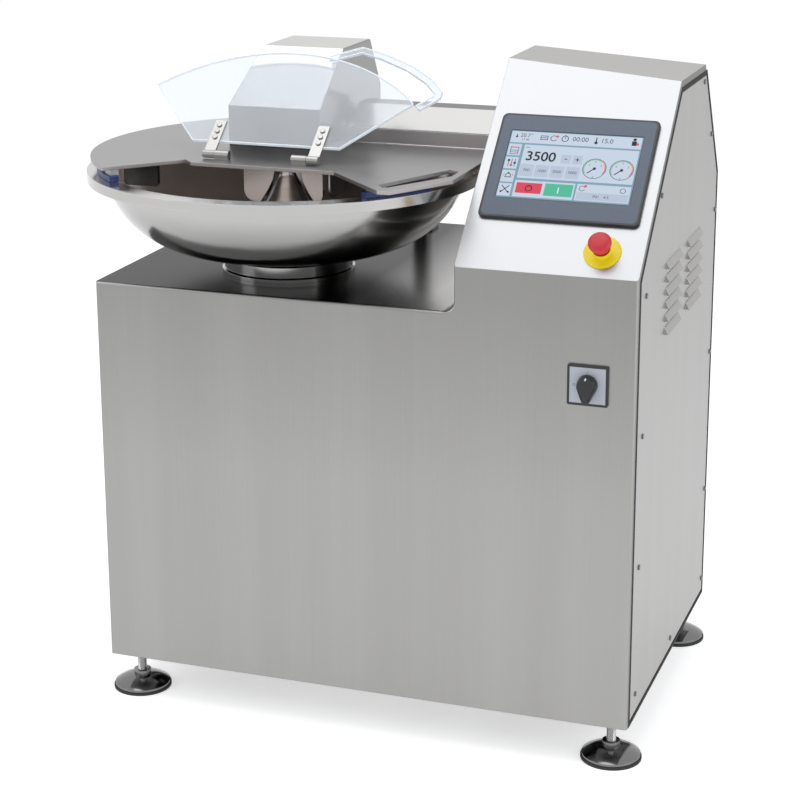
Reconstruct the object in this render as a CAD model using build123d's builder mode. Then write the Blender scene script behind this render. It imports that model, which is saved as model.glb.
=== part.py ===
from build123d import *

import os
from math import atan2, cos, hypot, radians, sin, sqrt

# A floor-standing meat bowl cutter: a cabinet with a console, a turning bowl, a high-speed
# knife shaft that reaches over the bowl's rim, and a hinged lid with a clear splash cover.
# X runs along the front, Y to the back and Z up; the floor is at zero.

# ---- Cabinet ----
FOOT_H = 75             # floor to the cabinet's underside
TABLE_RISE = 677        # underside to table top
KNEE_RISE = 75          # table to the start of the sloping front
CONSOLE_W = 297
CONSOLE_GAP = 22.5      # bowl's rim to the console
CONSOLE_RISE = 364      # table to the console's top at its left end
CONSOLE_FALL = 22       # how far that top falls towards the right
SLOPE_D = 298           # front to back, over the sloping face
TOP_D = 159
BACK_RISE = 130         # table to the foot of the console's back slope
SHEET = 2
BEND_R = 5
CORNER_R = 20           # rounded corner between table and console
EDGE_R = 3

# ---- Side panel: insets from the cabinet's side, from the front edge round to the bottom ----
PANEL_INSETS = (22, 21, 20, 4, 4, 8)
PANEL_T = 2
SEAL_GAP = 2.5
FLANGE_W = 26           # frame behind the panel's edge
PANEL_SCREW_IN = (35, 8, 9, 8, 8, 17)   # panel edge to screw line
# Screws along each side of the screw line, as shares of that side
PANEL_SCREWS = ((0.02, 0.32, 0.62, 0.93), (0.4,), (0.95,), (0.55,), (0.08, 0.42, 0.76, 0.99), (0.5,))
LOUVRE_L = 105
LOUVRE_H = 16
LOUVRE_OUT = 7
LOUVRE_PITCH = 22
LOUVRE_ROWS = 6
LOUVRE_T = 1.5
LOUVRE_COLUMNS = (250, 417)             # centres of the two columns, from the front
LOUVRE_TOP = 741                        # top row, above the underside
SCREW_R = 2.4
SCREW_HEAD_R = 4.5
SCREW_HEAD_H = 2.4
SCREW_L = 10
SCREW_PLAY = 0.1

# ---- Rear panel ----
REAR_MARGIN_X = 60
REAR_MARGIN_Z = 60
REAR_LAP = 14
GLAND_R = 14
GLAND_OUT = 30
GLAND_IN_X = 180
GLAND_Z_RISE = 120
REAR_SLOT_PITCH = 126

# ---- Base frame and feet ----
RAIL = 40
RAIL_T = 3
RAIL_X = (-5, 120, 270)                 # cross rails, from the motor's left end
FOOT_IN_X = 36
FOOT_IN_Y = 48
FOOT_DISC_R = 49
FOOT_RUBBER_R = 51
FOOT_RUBBER_H = 5
FOOT_DOME_H = 17
FOOT_BULGE = (35, 12)    # a point of the dome: radius, height over the rubber
FOOT_COLLAR_R = 15
FOOT_COLLAR_H = 9
STEM_R = 8
STEM_PLAY = 1
NUT_AF = 24
NUT_H = 11
GUSSET = 84
GUSSET_T = 8

# ---- Bowl ----
BOWL_IN_X = 273.5       # bowl axis from the cabinet's left face
BOWL_IN_Y = 191.5       # and from its front
RIM_R = 337
RIM_RISE = 182          # table to the rim's top
RIM_BAND_H = 17
RIM_BAND_T = 8
RIM_T = 6
TROUGH_R = 161          # outer radius of the trough's section
TROUGH_FROM_RIM = 187   # rim's edge to the centre of that section
TROUGH_OVER = 23        # that centre above the rim's top
BOWL_T = 4
# Points of the cone: share of the way out from its tip to the trough's middle, height over the floor
CONE = ((0.631, 14), (0.395, 38), (0.24, 61), (0.122, 85), (0.048, 104))
CONE_TOP_R = 14.5
CONE_TOP_H = 126
CONE_T = 7
BOWL_FOOT_IN = 42       # foot ring's edge, in from the middle of the trough
BOWL_FOOT_T = 14
BOWL_FOOT_RISE = 29
BOSS_R = 40
BOSS_RISE = 40
BOSS_END_RISE = 116

# ---- Bowl bearing and drive ----
NECK_PAST_FOOT = 2      # neck's upper edge, out from the foot ring
NECK_STEP = 4
NECK_STEP_H = 9
NECK_RISE = 26
HUB_TUBE_R = 56
HUB_TUBE_L = 104
BOWL_SHAFT_R = 20
BOWL_BEARING_R = 40
BOWL_BEARING_W = 18
DRIVE_PLATE_T = 10
WHEEL_R = 110
WHEEL_W = 30
WHEEL_DROP = 150        # table to the wheel's lower face
WHEEL_HOLE_R = 16
WHEEL_HOLE_IN = 68
GEAR_AT = (-123.5, 228.5)               # from the bowl axis
GEAR_PULLEY_R = 45
GEAR_R = 62
GEAR_L = 250
GEAR_BOX = (50, 62, 62)
GEAR_BOX_DROP = 150
GEAR_SHAFT_R = 12
GEAR_FLANGE = 140
GEAR_FLANGE_T = 12
POST_R = 8
BELT_T = 4
BELT_PLAY = 0.3
BELT_MARGIN = 3

# ---- Knife shaft, arm and knives ----
SHAFT_PAST = 6          # knife axis behind the middle of the trough
SHAFT_OVER = 21         # knife axis over the rim's top
SHAFT_R = 15
SHAFT_MID_R = 14
SHAFT_SEAT_R = 13
SHAFT_THREAD_R = 10
BORE_PLAY = 0.6
RUN_PLAY = 0.05
ARM_R = 36
ARM_NOSE = 18.5         # left end of the arm, from the bowl axis
ARM_TAIL = 57           # right end of the arm, inside the console
ARM_FLANGE_R = 62
ARM_FLANGE_T = 12
RIM_PLAY = 3.5
RIM_SIDE_PLAY = 6
BEARING_R = 31
BEARING_W = 16
SEAL_W = 8
SEAL_R = 24
SEAL_SINK = 1
KNIFE_R = 142
KNIFE_T = 5
KNIFE_HUB_R = 32
KNIFE_PAIRS = 3
KNIFE_HOLLOW_R = 62
SPACER_W = 10
HEAD_RIGHT = -16.5      # right face of the knife stack, from the bowl axis
COLLAR_W = 12
END_PLATE_W = 8
KNIFE_NUT_AF = 36
KNIFE_NUT_W = 20
PULLEY_AT = 69          # inside the console
PULLEY_W = 30
KNIFE_PULLEY_R = 60
RIB_PITCH = 4
RIB_DEPTH = 2
SHAFT_TAIL = 109

# ---- Knife motor ----
MOTOR_R = 100
MOTOR_L = 300
MOTOR_GAP = 52          # motor's drive end to the pulley
MOTOR_AXIS_H = 112
MOTOR_FINS = 24
MOTOR_FIN_H = 8
MOTOR_FIN_T = 3
MOTOR_FIN_ROOT = 4
MOTOR_END_L = 30
MOTOR_FOOT_L = 150
MOTOR_FOOT_H = 37
MOTOR_BOX = (100, 100, 80)
MOTOR_BOX_AT = 180
MOTOR_SHAFT_R = 14
MOTOR_PULLEY_R = 72
MOTOR_PLATE_T = 8
MOTOR_PLATE_W = 240
COWL_L = 60

# ---- Arm cover ----
COVER_FRONT = -47.5     # its faces, from the knife axis
COVER_BACK = 68.5
COVER_LEFT = 78.5       # from the bowl axis
COVER_SHOULDER = 50     # rim's top to its shoulder
COVER_TOP = 86
COVER_SLANT = 36
COVER_FOOT = 9
COVER_T = 2.5

# ---- Lid ----
LID_IN = 7              # rim's edge to the lid's edge
LID_RISE = 25           # rim's top to the lid's top
LID_EDGE = 6
LID_T = 3
# Front opening, back from the knife axis: across from the bowl axis, then from the rim's right end
LID_FRONT_LEFT = ((-227.5, -399.5), (-125.5, -291.5), (-108.5, -309.5), (145.5, -311.5))
LID_FRONT_RIGHT = ((-75.5, -429.5), (-54.5, -429.5), (-10.5, -355.5))
LID_FRONT_END = -317.5
LID_GAP = 11            # lid to the console
LID_TAIL_LEFT = 66.5    # from the bowl axis
LID_TAIL_GAP = 33       # to the console
ARM_SLOT_PLAY = 3
UPSTAND_H = 25
# Measured as the front opening's right part
GRIP_SLOT = ((-89.5, -388.5), (-72.5, -411.5), (-0.5, -289.5), (-0.5, -247.5), (-19.5, -237.5))

# ---- Knife hood: across from the bowl axis, and back from the knife axis ----
HOOD_X = (-107.5, 59.5)
HOOD_Y = (-151.5, 148.5)
HOOD_TOP_X = (-77.5, 69.5)
HOOD_TOP_Y = (-62.5, 67.5)
HOOD_WALL_H = 68
HOOD_H = 162
HOOD_T = 2.5
ARM_NOTCH_PLAY = 5

# ---- Guards, scraper and rim pads under the lid ----
GUARD_T = 3
GUARD_X = (-81.5, 63.5)                 # from the bowl axis
GUARD_DROP = 91
GUARD_R = 20
GUARD_CONE_PLAY = 7
SIDE_GUARD_X = 71.5
SIDE_GUARD_Y = (-147.5, -55.5)          # from the knife axis
SIDE_GUARD_DROP = 80
SCRAPER_X = (93.5, 156.5)               # from the rim's left end
SCRAPER_Y = -129.5      # from the bowl axis
SCRAPER_T = 8
SCRAPER_DROP = 48
PAD_ANGLES = (216, 327)
PAD_SPAN = 12           # to either side of its middle
PAD_IN = (33, 17)       # its edges, in from the rim's edge
BLOCK_TURN = 7.5        # from the pad's middle towards its front end
BLOCK_SPAN = 2.5
BLOCK_IN = (37, 22)
PAD_H = 9
PAD_PLAY = 0.4

# ---- Lid hinge ----
HINGE_BACK = 33.5       # rim's back to the hinge axis
HINGE_IN = 48           # hinge axis to the cabinet's back
HINGE_FRONT = 17        # hinge axis to the lid's back edge
LID_AXIS_OVER = 31      # rim's top to the hinge axis
POST_IN = (50, 40)      # posts in from the ends of the lid's back edge
POST_W = 26
POST_D = 26
KNUCKLE_W = 20
KNUCKLE_R = 11
PIN_R = 5
HINGE_GAP = 0.5

# ---- Splash cover, raised: across from the bowl axis, then up the cover from its hinge ----
SPLASH_LEAN = 50
SPLASH_BEFORE = 121     # its hinge axis before the hood
SPLASH_AXIS_OVER = 8    # lid's top to the hinge axis
SPLASH_T = 5
SPLASH_FOOT = ((-132.5, 29), (130.5, 29))
SPLASH_LEFT = (-237.5, 145)
SPLASH_RIGHT = (232.5, 133)
SPLASH_CROWN = (-5.5, 231)
STRAP_X = (-91.5, 93.5)
STRAP_W = 20
STRAP_L = 72
STRAP_T = 3
STRAP_SCREWS = (35, 48, 61)
BARREL_R = 6.5
SLEEVE_R = 7
SLEEVE_L = 26
SLEEVE_FOOT_W = 10
SPLASH_PIN_R = 3
LOOP_OUT = ((52.5, 232), (108.5, 256), (150.5, 244), (204.5, 221), (248.5, 192), (272.5, 166),
            (272.5, 152), (242.5, 124))
LOOP_W = 13

# ---- Controls on the console's slope ----
SCREEN_UP = 197         # up the slope from its foot
BEZEL = (262, 204)
BEZEL_OUT = 6
BEZEL_R = 10
GLASS = (218, 131)
GLASS_UP = 2
CASE = (230, 172)
CASE_D = 44
STOP_IN = 66            # from the cabinet's right
STOP_UP = 47
STOP_PLATE_R = 30
STOP_PLATE_T = 2
STOP_NECK_R = 15
STOP_NECK_H = 9
STOP_HOLE_R = 11
STOP_STEM_R = 8
STOP_STEM_L = 34
STOP_HEAD_R = 20
STOP_HEAD_H = 15
STOP_TRAVEL = 4
CONTACT = (30, 44, 38)
SWITCH_IN = 76          # from the cabinet's right
SWITCH_RISE = 579       # above its underside
SWITCH_FRAME = 66
SWITCH_FRAME_T = 4
SWITCH_PLATE = 58
SWITCH_PLATE_T = 1
KNOB_R = 15
KNOB_H = 8
KNOB_GRIP_H = 16
KNOB_GRIP_W = 12
KNOB_TAIL = 22
KNOB_GAP = 0.4
SWITCH_STEM_R = 4
SWITCH_BODY = (48, 52, 60)

# ---- Electrical parts ----
BOARD_IN_X = (39, 30)   # in from the console's left face and from the cabinet's right
BOARD_RISE = 500
BOARD_IN = 58
BOARD_T = 3
INVERTER = (96, 118, 190)
INVERTER_IN = (200, 90)                 # from the cabinet's right
INVERTER_RISE = 170
CONTACTOR = (45, 80, 76)
CONTACTORS = 4
CONTACTOR_UP = 400

# ---- Places that follow from the sizes ----
CAB_W = BOWL_IN_X + RIM_R + CONSOLE_GAP + CONSOLE_W
CAB_D = BOWL_IN_Y + RIM_R + HINGE_BACK + HINGE_IN
LEFT = -((BOWL_IN_X - RIM_R) + (CAB_W - FOOT_IN_X + FOOT_RUBBER_R)) / 2
FRONT = -((BOWL_IN_Y - RIM_R) + (CAB_D + GLAND_OUT)) / 2
RIGHT = LEFT + CAB_W
BACK = FRONT + CAB_D
MID_X = LEFT + CAB_W / 2
MID_Y = FRONT + CAB_D / 2
CAB_Z = FOOT_H
TABLE_Z = CAB_Z + TABLE_RISE
KNEE_Z = TABLE_Z + KNEE_RISE
CONSOLE_Z = TABLE_Z + CONSOLE_RISE
BACK_Z = TABLE_Z + BACK_RISE
CONSOLE_X = RIGHT - CONSOLE_W
BOWL_X = LEFT + BOWL_IN_X
BOWL_Y = FRONT + BOWL_IN_Y
RIM_Z = TABLE_Z + RIM_RISE
TROUGH_Z = RIM_Z + TROUGH_OVER
FLOOR_Z = TROUGH_Z - TROUGH_R + BOWL_T      # the trough's lowest inner point
TROUGH_IN = RIM_R - TROUGH_FROM_RIM
BOWL_FOOT_R = TROUGH_IN - BOWL_FOOT_IN
BOWL_FOOT_IN_R = BOWL_FOOT_R - BOWL_FOOT_T
NECK_TOP_R = BOWL_FOOT_R + NECK_PAST_FOOT
NECK_R = NECK_TOP_R + NECK_STEP
SHAFT_Y = BOWL_Y + TROUGH_IN + SHAFT_PAST
SHAFT_Z = RIM_Z + SHAFT_OVER
LID_Z = RIM_Z + LID_RISE
LID_UNDER_Z = LID_Z - LID_EDGE
LID_R = RIM_R - LID_IN
LID_AXIS_Y = BACK - HINGE_IN
LID_AXIS_Z = RIM_Z + LID_AXIS_OVER
LID_BACK_Y = LID_AXIS_Y - HINGE_FRONT
LID_RIGHT_X = CONSOLE_X - LID_GAP
LID_TAIL_X = (BOWL_X + LID_TAIL_LEFT, CONSOLE_X - LID_TAIL_GAP)
POST_X = (LID_TAIL_X[0] + POST_IN[0], LID_TAIL_X[1] - POST_IN[1])
SLOPE = atan2(CONSOLE_Z - KNEE_Z, SLOPE_D)
PULLEY_X = CONSOLE_X + PULLEY_AT
MOTOR_X = PULLEY_X - MOTOR_GAP - MOTOR_L
MOTOR_Z = CAB_Z + RAIL + MOTOR_PLATE_T + MOTOR_AXIS_H
SCREEN_AT = (CONSOLE_W / 2, SCREEN_UP)
STOP_AT = (CONSOLE_W - STOP_IN, STOP_UP)
SWITCH_X = RIGHT - SWITCH_IN
SWITCH_Z = CAB_Z + SWITCH_RISE


def x_plane(x):
    """Upright plane facing right; its own axes are Y and Z."""
    return Plane(origin=(x, 0, 0), x_dir=(0, 1, 0), z_dir=(1, 0, 0))


def y_plane(y):
    """Upright plane facing the front; its own axes are X and Z."""
    return Plane(origin=(0, y, 0), x_dir=(1, 0, 0), z_dir=(0, -1, 0))


def upright(x, y):
    """Vertical axis through a point of the floor plan."""
    return Axis((x, y, 0), (0, 0, 1))


def moved(points, dx, dy):
    """The same outline, moved."""
    return [(u + dx, v + dy) for u, v in points]


def inset_outline(outline, insets):
    """Move each side of a clockwise outline inwards by its own inset."""
    sides = []
    for (u0, v0), (u1, v1), inset in zip(outline, outline[1:] + outline[:1], insets):
        length = hypot(u1 - u0, v1 - v0)
        across, along = (v1 - v0) / length, -(u1 - u0) / length
        sides.append((across, along, across * u0 + along * v0 + inset))
    corners = []
    for (a, b, c), (d, e, f) in zip(sides[-1:] + sides[:-1], sides):
        turn = a * e - b * d
        corners.append(((c * e - b * f) / turn, (a * f - c * d) / turn))
    return corners


def turned_z(x, y, outline):
    """A turned piece on a vertical axis; the outline gives (radius, height) pairs."""
    with BuildPart() as piece:
        with BuildSketch(Plane(origin=(x, y, 0), x_dir=(1, 0, 0), z_dir=(0, -1, 0))):
            with BuildLine():
                Polyline(*outline, close=True)
            make_face()
        revolve(axis=upright(x, y))
    return piece.part


def turned_x(y, z, outline):
    """A turned piece on an axis along X; the outline gives (x, radius) pairs."""
    with BuildPart() as piece:
        with BuildSketch(Plane(origin=(0, y, z), x_dir=(1, 0, 0), z_dir=(0, -1, 0))):
            with BuildLine():
                Polyline(*outline, close=True)
            make_face()
        revolve(axis=Axis((0, y, z), (1, 0, 0)))
    return piece.part


def slab(plane, outline, thickness):
    """A flat piece with a straight-sided outline."""
    with BuildPart() as piece:
        with BuildSketch(plane):
            with BuildLine():
                Polyline(*outline, close=True)
            make_face()
        extrude(amount=thickness)
    return piece.part


def button_screw(head_r, head_h, shank_r, length):
    """A button-head screw standing on the origin, its shank pointing down."""
    with BuildPart() as piece:
        Cylinder(shank_r, length, align=(Align.CENTER, Align.CENTER, Align.MAX))
        Cylinder(head_r, head_h, align=(Align.CENTER, Align.CENTER, Align.MIN))
        fillet(piece.edges().sort_by(Axis.Z)[-1], head_h / 2)
    return piece.part


def belt(plane, centres, radii, width):
    """A flat belt round two pulleys, lying in a plane."""
    (u0, v0), (u1, v1) = centres
    with BuildPart() as piece:
        with BuildSketch(plane):
            for grow, mode in ((BELT_PLAY + BELT_T, Mode.ADD), (BELT_PLAY, Mode.SUBTRACT)):
                with BuildSketch(mode=Mode.PRIVATE) as ring:
                    for (u, v), radius in zip(centres, radii):
                        with Locations((u, v)):
                            Circle(radius + grow)
                    make_hull()
                add(ring.sketch, mode=mode)
        extrude(amount=width)
    return piece.part


# The cabinet's side, clockwise from the front's lower corner, as (y, z)
LEFT_SIDE = [(FRONT, CAB_Z), (FRONT, KNEE_Z), (FRONT + SLOPE_D, CONSOLE_Z),
             (FRONT + SLOPE_D + TOP_D, CONSOLE_Z), (BACK, BACK_Z), (BACK, CAB_Z)]
RIGHT_TOP_Z = CONSOLE_Z - CONSOLE_FALL
FALL_FRONT = SLOPE_D * (RIGHT_TOP_Z - KNEE_Z) / (CONSOLE_Z - KNEE_Z)
FALL_BACK = TOP_D + (CAB_D - SLOPE_D - TOP_D) * CONSOLE_FALL / (CONSOLE_Z - BACK_Z)
RIGHT_SIDE = [(FRONT, CAB_Z), (FRONT, KNEE_Z), (FRONT + FALL_FRONT, RIGHT_TOP_Z),
              (FRONT + SLOPE_D + FALL_BACK, RIGHT_TOP_Z), (BACK, BACK_Z), (BACK, CAB_Z)]
PANEL_OUTLINE = inset_outline(RIGHT_SIDE, PANEL_INSETS)
OPENING_OUTLINE = inset_outline(PANEL_OUTLINE, [-SEAL_GAP] * len(PANEL_INSETS))
SCREW_LINE = inset_outline(PANEL_OUTLINE, PANEL_SCREW_IN)

TOP_PLANE = Plane(
    origin=(CONSOLE_X, 0, CONSOLE_Z),
    x_dir=(0, 1, 0),
    z_dir=(CONSOLE_FALL / CONSOLE_W, 0, 1),
)
SLOPE_PLANE = Plane(
    origin=(CONSOLE_X, FRONT, KNEE_Z),
    x_dir=(1, 0, 0),
    z_dir=(0, -sin(SLOPE), cos(SLOPE)),
)
SLOPE_AXIS = Axis(SLOPE_PLANE.origin, SLOPE_PLANE.z_dir)


def cabinet_form(inset, overrun):
    """The cabinet's solid form, drawn in by an inset and run past its underside."""
    with BuildPart() as form:
        with BuildSketch(Plane.XY.offset(CAB_Z - overrun)):
            with Locations((MID_X, MID_Y)):
                Rectangle(CAB_W - 2 * inset, CAB_D - 2 * inset)
        extrude(amount=TABLE_RISE + overrun - inset)
        with BuildSketch(x_plane(CONSOLE_X + inset)):
            with BuildLine():
                Polyline(*inset_outline(LEFT_SIDE, [inset] * 5 + [-overrun]), close=True)
            make_face()
        extrude(amount=CONSOLE_W - 2 * inset)
        split(bisect_by=TOP_PLANE.offset(-inset), keep=Keep.BOTTOM)
        corner = form.edges().filter_by(Axis.Y).group_by(Axis.Z)
        fillet(
            [e for group in corner for e in group
             if hypot(e.center().X - CONSOLE_X - inset, e.center().Z - TABLE_Z + inset) < EDGE_R],
            CORNER_R + inset,
        )
        fillet(form.edges().filter_by(Axis.Z).group_by(Axis.Y)[0], BEND_R - inset)
    return form.part


# ==== Cabinet ====
# Screws of the side panel as (y, z), and of the rear panel as (x, z)
panel_screw_points = [
    (start_y + (end_y - start_y) * share, start_z + (end_z - start_z) * share)
    for (start_y, start_z), (end_y, end_z), shares in zip(
        SCREW_LINE, SCREW_LINE[1:] + SCREW_LINE[:1], PANEL_SCREWS
    )
    for share in shares
]

with BuildPart() as side_holes:
    with BuildSketch(x_plane(RIGHT - SCREW_L - SHEET)):
        with Locations(*panel_screw_points):
            Circle(SCREW_R + SCREW_PLAY)
    extrude(amount=SCREW_L + 2 * SHEET)

REAR_W = CAB_W - 2 * REAR_MARGIN_X + 2 * REAR_LAP
REAR_H = TABLE_RISE - 2 * REAR_MARGIN_Z + 2 * REAR_LAP
rear_screw_points = [
    (MID_X + i * (REAR_W - REAR_LAP) / 2, CAB_Z + TABLE_RISE / 2 + k * (REAR_H - REAR_LAP) / 2)
    for i in (-1, 0, 1) for k in (-1, 0, 1) if i or k
]

with BuildPart() as rear_holes:
    with BuildSketch(y_plane(BACK + SHEET)):
        with Locations(*rear_screw_points):
            Circle(SCREW_R + SCREW_PLAY)
    extrude(amount=SCREW_L + 2 * SHEET)

with BuildPart() as body_shell:
    add(cabinet_form(0, 0))
    add(cabinet_form(SHEET, SHEET), mode=Mode.SUBTRACT)
    # Opening for the side panel, with the frame the panel is screwed to
    add(slab(x_plane(RIGHT - 2 * SHEET), OPENING_OUTLINE, 3 * SHEET), mode=Mode.SUBTRACT)
    with BuildSketch(x_plane(RIGHT - SHEET - PANEL_T)):
        with BuildLine():
            Polyline(*inset_outline(RIGHT_SIDE, [SHEET / 2] * 5 + [SHEET]), close=True)
        make_face()
        with BuildLine():
            Polyline(
                *inset_outline(PANEL_OUTLINE, [FLANGE_W + edge / 2 for edge in PANEL_SCREW_IN]), close=True
            )
        make_face(mode=Mode.SUBTRACT)
    extrude(amount=PANEL_T)
    # Rear opening
    with BuildSketch(y_plane(BACK + SHEET)):
        with Locations((MID_X, CAB_Z + TABLE_RISE / 2)):
            Rectangle(CAB_W - 2 * REAR_MARGIN_X, TABLE_RISE - 2 * REAR_MARGIN_Z)
    extrude(amount=3 * SHEET, mode=Mode.SUBTRACT)
    # Holes for the bowl's bearing tube and the arm
    with Locations((BOWL_X, BOWL_Y, TABLE_Z)):
        Cylinder(HUB_TUBE_R + SHEET, 4 * SHEET, mode=Mode.SUBTRACT)
    with BuildSketch(x_plane(CONSOLE_X - SHEET)):
        with Locations((SHAFT_Y, SHAFT_Z)):
            Circle(ARM_R + SHEET / 2)
    extrude(amount=3 * SHEET, mode=Mode.SUBTRACT)
    # Cut-outs for the screen, the emergency stop and the main switch
    with BuildSketch(SLOPE_PLANE.offset(SHEET)):
        with Locations(SCREEN_AT):
            Rectangle(CASE[0] + SHEET, CASE[1] + SHEET)
        with Locations(STOP_AT):
            Circle(STOP_HOLE_R + SCREW_PLAY)
    extrude(amount=-3 * SHEET, mode=Mode.SUBTRACT)
    with BuildSketch(y_plane(FRONT - SHEET)):
        with Locations((SWITCH_X, SWITCH_Z)):
            Circle(STOP_HOLE_R)
    extrude(amount=-3 * SHEET, mode=Mode.SUBTRACT)
    add(side_holes.part, mode=Mode.SUBTRACT)
    add(rear_holes.part, mode=Mode.SUBTRACT)

with BuildPart() as side_panel:
    add(slab(x_plane(RIGHT - PANEL_T), PANEL_OUTLINE, PANEL_T))
    for column in LOUVRE_COLUMNS:
        for row in range(LOUVRE_ROWS):
            top = CAB_Z + LOUVRE_TOP - row * LOUVRE_PITCH
            middle = FRONT + column
            hood = [(RIGHT - LOUVRE_T, top), (RIGHT + LOUVRE_OUT, top - LOUVRE_H),
                    (RIGHT - LOUVRE_T, top - LOUVRE_H)]
            hollow = [(RIGHT - 2 * PANEL_T, top - LOUVRE_T), (RIGHT, top - 2 * LOUVRE_T),
                      (RIGHT + LOUVRE_OUT - LOUVRE_T, top - LOUVRE_H),
                      (RIGHT + LOUVRE_OUT - LOUVRE_T, top - LOUVRE_H - LOUVRE_T),
                      (RIGHT - 2 * PANEL_T, top - LOUVRE_H - LOUVRE_T)]
            add(slab(y_plane(middle + LOUVRE_L / 2), hood, LOUVRE_L))
            add(slab(y_plane(middle + LOUVRE_L / 2 - LOUVRE_T), hollow, LOUVRE_L - 2 * LOUVRE_T),
                mode=Mode.SUBTRACT)
    add(side_holes.part, mode=Mode.SUBTRACT)

with BuildPart() as side_panel_seal:
    with BuildSketch(x_plane(RIGHT - SHEET)):
        with BuildLine():
            Polyline(*OPENING_OUTLINE, close=True)
        make_face()
        with BuildLine():
            Polyline(*PANEL_OUTLINE, close=True)
        make_face(mode=Mode.SUBTRACT)
    extrude(amount=SHEET - EDGE_R / 4)

with BuildPart() as rear_panel:
    with BuildSketch(y_plane(BACK + PANEL_T)):
        with Locations((MID_X, CAB_Z + TABLE_RISE / 2)):
            RectangleRounded(REAR_W, REAR_H, EDGE_R)
        with Locations(*rear_screw_points):
            Circle(SCREW_R + SCREW_PLAY, mode=Mode.SUBTRACT)
        with Locations((LEFT + GLAND_IN_X, CAB_Z + GLAND_Z_RISE)):
            Circle(GLAND_R, mode=Mode.SUBTRACT)
        with Locations((MID_X, CAB_Z + TABLE_RISE / 2)):
            with GridLocations(REAR_SLOT_PITCH, LOUVRE_PITCH, 3, LOUVRE_ROWS):
                SlotOverall(LOUVRE_L, LOUVRE_H / 3, mode=Mode.SUBTRACT)
    extrude(amount=PANEL_T)

with BuildPart() as panel_screws:
    with Locations(
        *[Location((RIGHT, y, z), (0, 90, 0)) for y, z in panel_screw_points],
        *[Location((x, BACK + PANEL_T, z), (-90, 0, 0)) for x, z in rear_screw_points],
    ):
        add(button_screw(SCREW_HEAD_R, SCREW_HEAD_H, SCREW_R, SCREW_L))

with BuildPart() as cable_gland:
    with BuildSketch(y_plane(BACK + PANEL_T)):
        with Locations((LEFT + GLAND_IN_X, CAB_Z + GLAND_Z_RISE)):
            Circle(GLAND_R - SCREW_PLAY)
    extrude(amount=4 * PANEL_T)
    with BuildSketch(y_plane(BACK + PANEL_T)):
        with Locations((LEFT + GLAND_IN_X, CAB_Z + GLAND_Z_RISE)):
            RegularPolygon(GLAND_R + PANEL_T, 6, major_radius=False)
    extrude(amount=-(GLAND_OUT - PANEL_T) / 3)
    with BuildSketch(y_plane(BACK + PANEL_T + (GLAND_OUT - PANEL_T) / 3)):
        with Locations((LEFT + GLAND_IN_X, CAB_Z + GLAND_Z_RISE)):
            Circle(GLAND_R)
    extrude(amount=-(GLAND_OUT - PANEL_T) * 2 / 3)
    fillet(cable_gland.faces().sort_by(Axis.Y)[-1].edges(), EDGE_R)
    with BuildSketch(y_plane(BACK + GLAND_OUT)):
        with Locations((LEFT + GLAND_IN_X, CAB_Z + GLAND_Z_RISE)):
            Circle(GLAND_R / 2)
    extrude(amount=GLAND_OUT / 2, mode=Mode.SUBTRACT)

foot_points = [
    (MID_X + i * (CAB_W / 2 - FOOT_IN_X), MID_Y + k * (CAB_D / 2 - FOOT_IN_Y))
    for i in (-1, 1) for k in (-1, 1)
]

FRAME_W = CAB_W - 2 * SHEET - 2 * PANEL_T
FRAME_D = CAB_D - 2 * SHEET

with BuildPart() as base_frame:
    with BuildSketch(Plane.XY.offset(CAB_Z)):
        with Locations((MID_X, MID_Y)):
            Rectangle(FRAME_W, FRAME_D)
            Rectangle(FRAME_W - 2 * RAIL, FRAME_D - 2 * RAIL, mode=Mode.SUBTRACT)
    extrude(amount=RAIL)
    for rail_x in RAIL_X:
        with BuildSketch(Plane.XY.offset(CAB_Z)):
            with Locations((MOTOR_X + rail_x, MID_Y)):
                Rectangle(RAIL, FRAME_D)
        extrude(amount=RAIL)
    # The rails are channels, open below
    with BuildSketch(Plane.XY.offset(CAB_Z)):
        with Locations((MID_X, MID_Y)):
            Rectangle(FRAME_W - 2 * RAIL_T, FRAME_D - 2 * RAIL_T)
            Rectangle(FRAME_W - 2 * RAIL + 2 * RAIL_T, FRAME_D - 2 * RAIL + 2 * RAIL_T, mode=Mode.SUBTRACT)
        for rail_x in RAIL_X:
            with Locations((MOTOR_X + rail_x, MID_Y)):
                Rectangle(RAIL - 2 * RAIL_T, FRAME_D - 2 * RAIL_T)
    extrude(amount=RAIL - RAIL_T, mode=Mode.SUBTRACT)
    # Corner gussets carry the feet
    with BuildSketch(Plane.XY.offset(CAB_Z)):
        with Locations((MID_X, MID_Y)):
            with GridLocations(FRAME_W - GUSSET, FRAME_D - GUSSET, 2, 2):
                Rectangle(GUSSET, GUSSET)
    extrude(amount=GUSSET_T)
    with Locations(*[(x, y, CAB_Z + RAIL / 2) for x, y in foot_points]):
        Cylinder(STEM_R + SCREW_PLAY, 2 * RAIL, mode=Mode.SUBTRACT)
    # Plate welded on for the knife motor
    with BuildSketch(Plane.XY.offset(CAB_Z + RAIL)):
        with Locations((MOTOR_X + MOTOR_L / 2, SHAFT_Y)):
            RectangleRounded(MOTOR_L, MOTOR_PLATE_W, 2 * EDGE_R)
    extrude(amount=MOTOR_PLATE_T)
    add(side_holes.part, mode=Mode.SUBTRACT)
    add(rear_holes.part, mode=Mode.SUBTRACT)

with BuildPart() as foot_rubbers:
    with Locations(*foot_points):
        Cylinder(FOOT_RUBBER_R, FOOT_RUBBER_H, align=(Align.CENTER, Align.CENTER, Align.MIN))
    fillet(foot_rubbers.faces().sort_by(Axis.Z)[-4:].edges(), 1)

FOOT_DOME_Z = FOOT_RUBBER_H + FOOT_DOME_H

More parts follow.
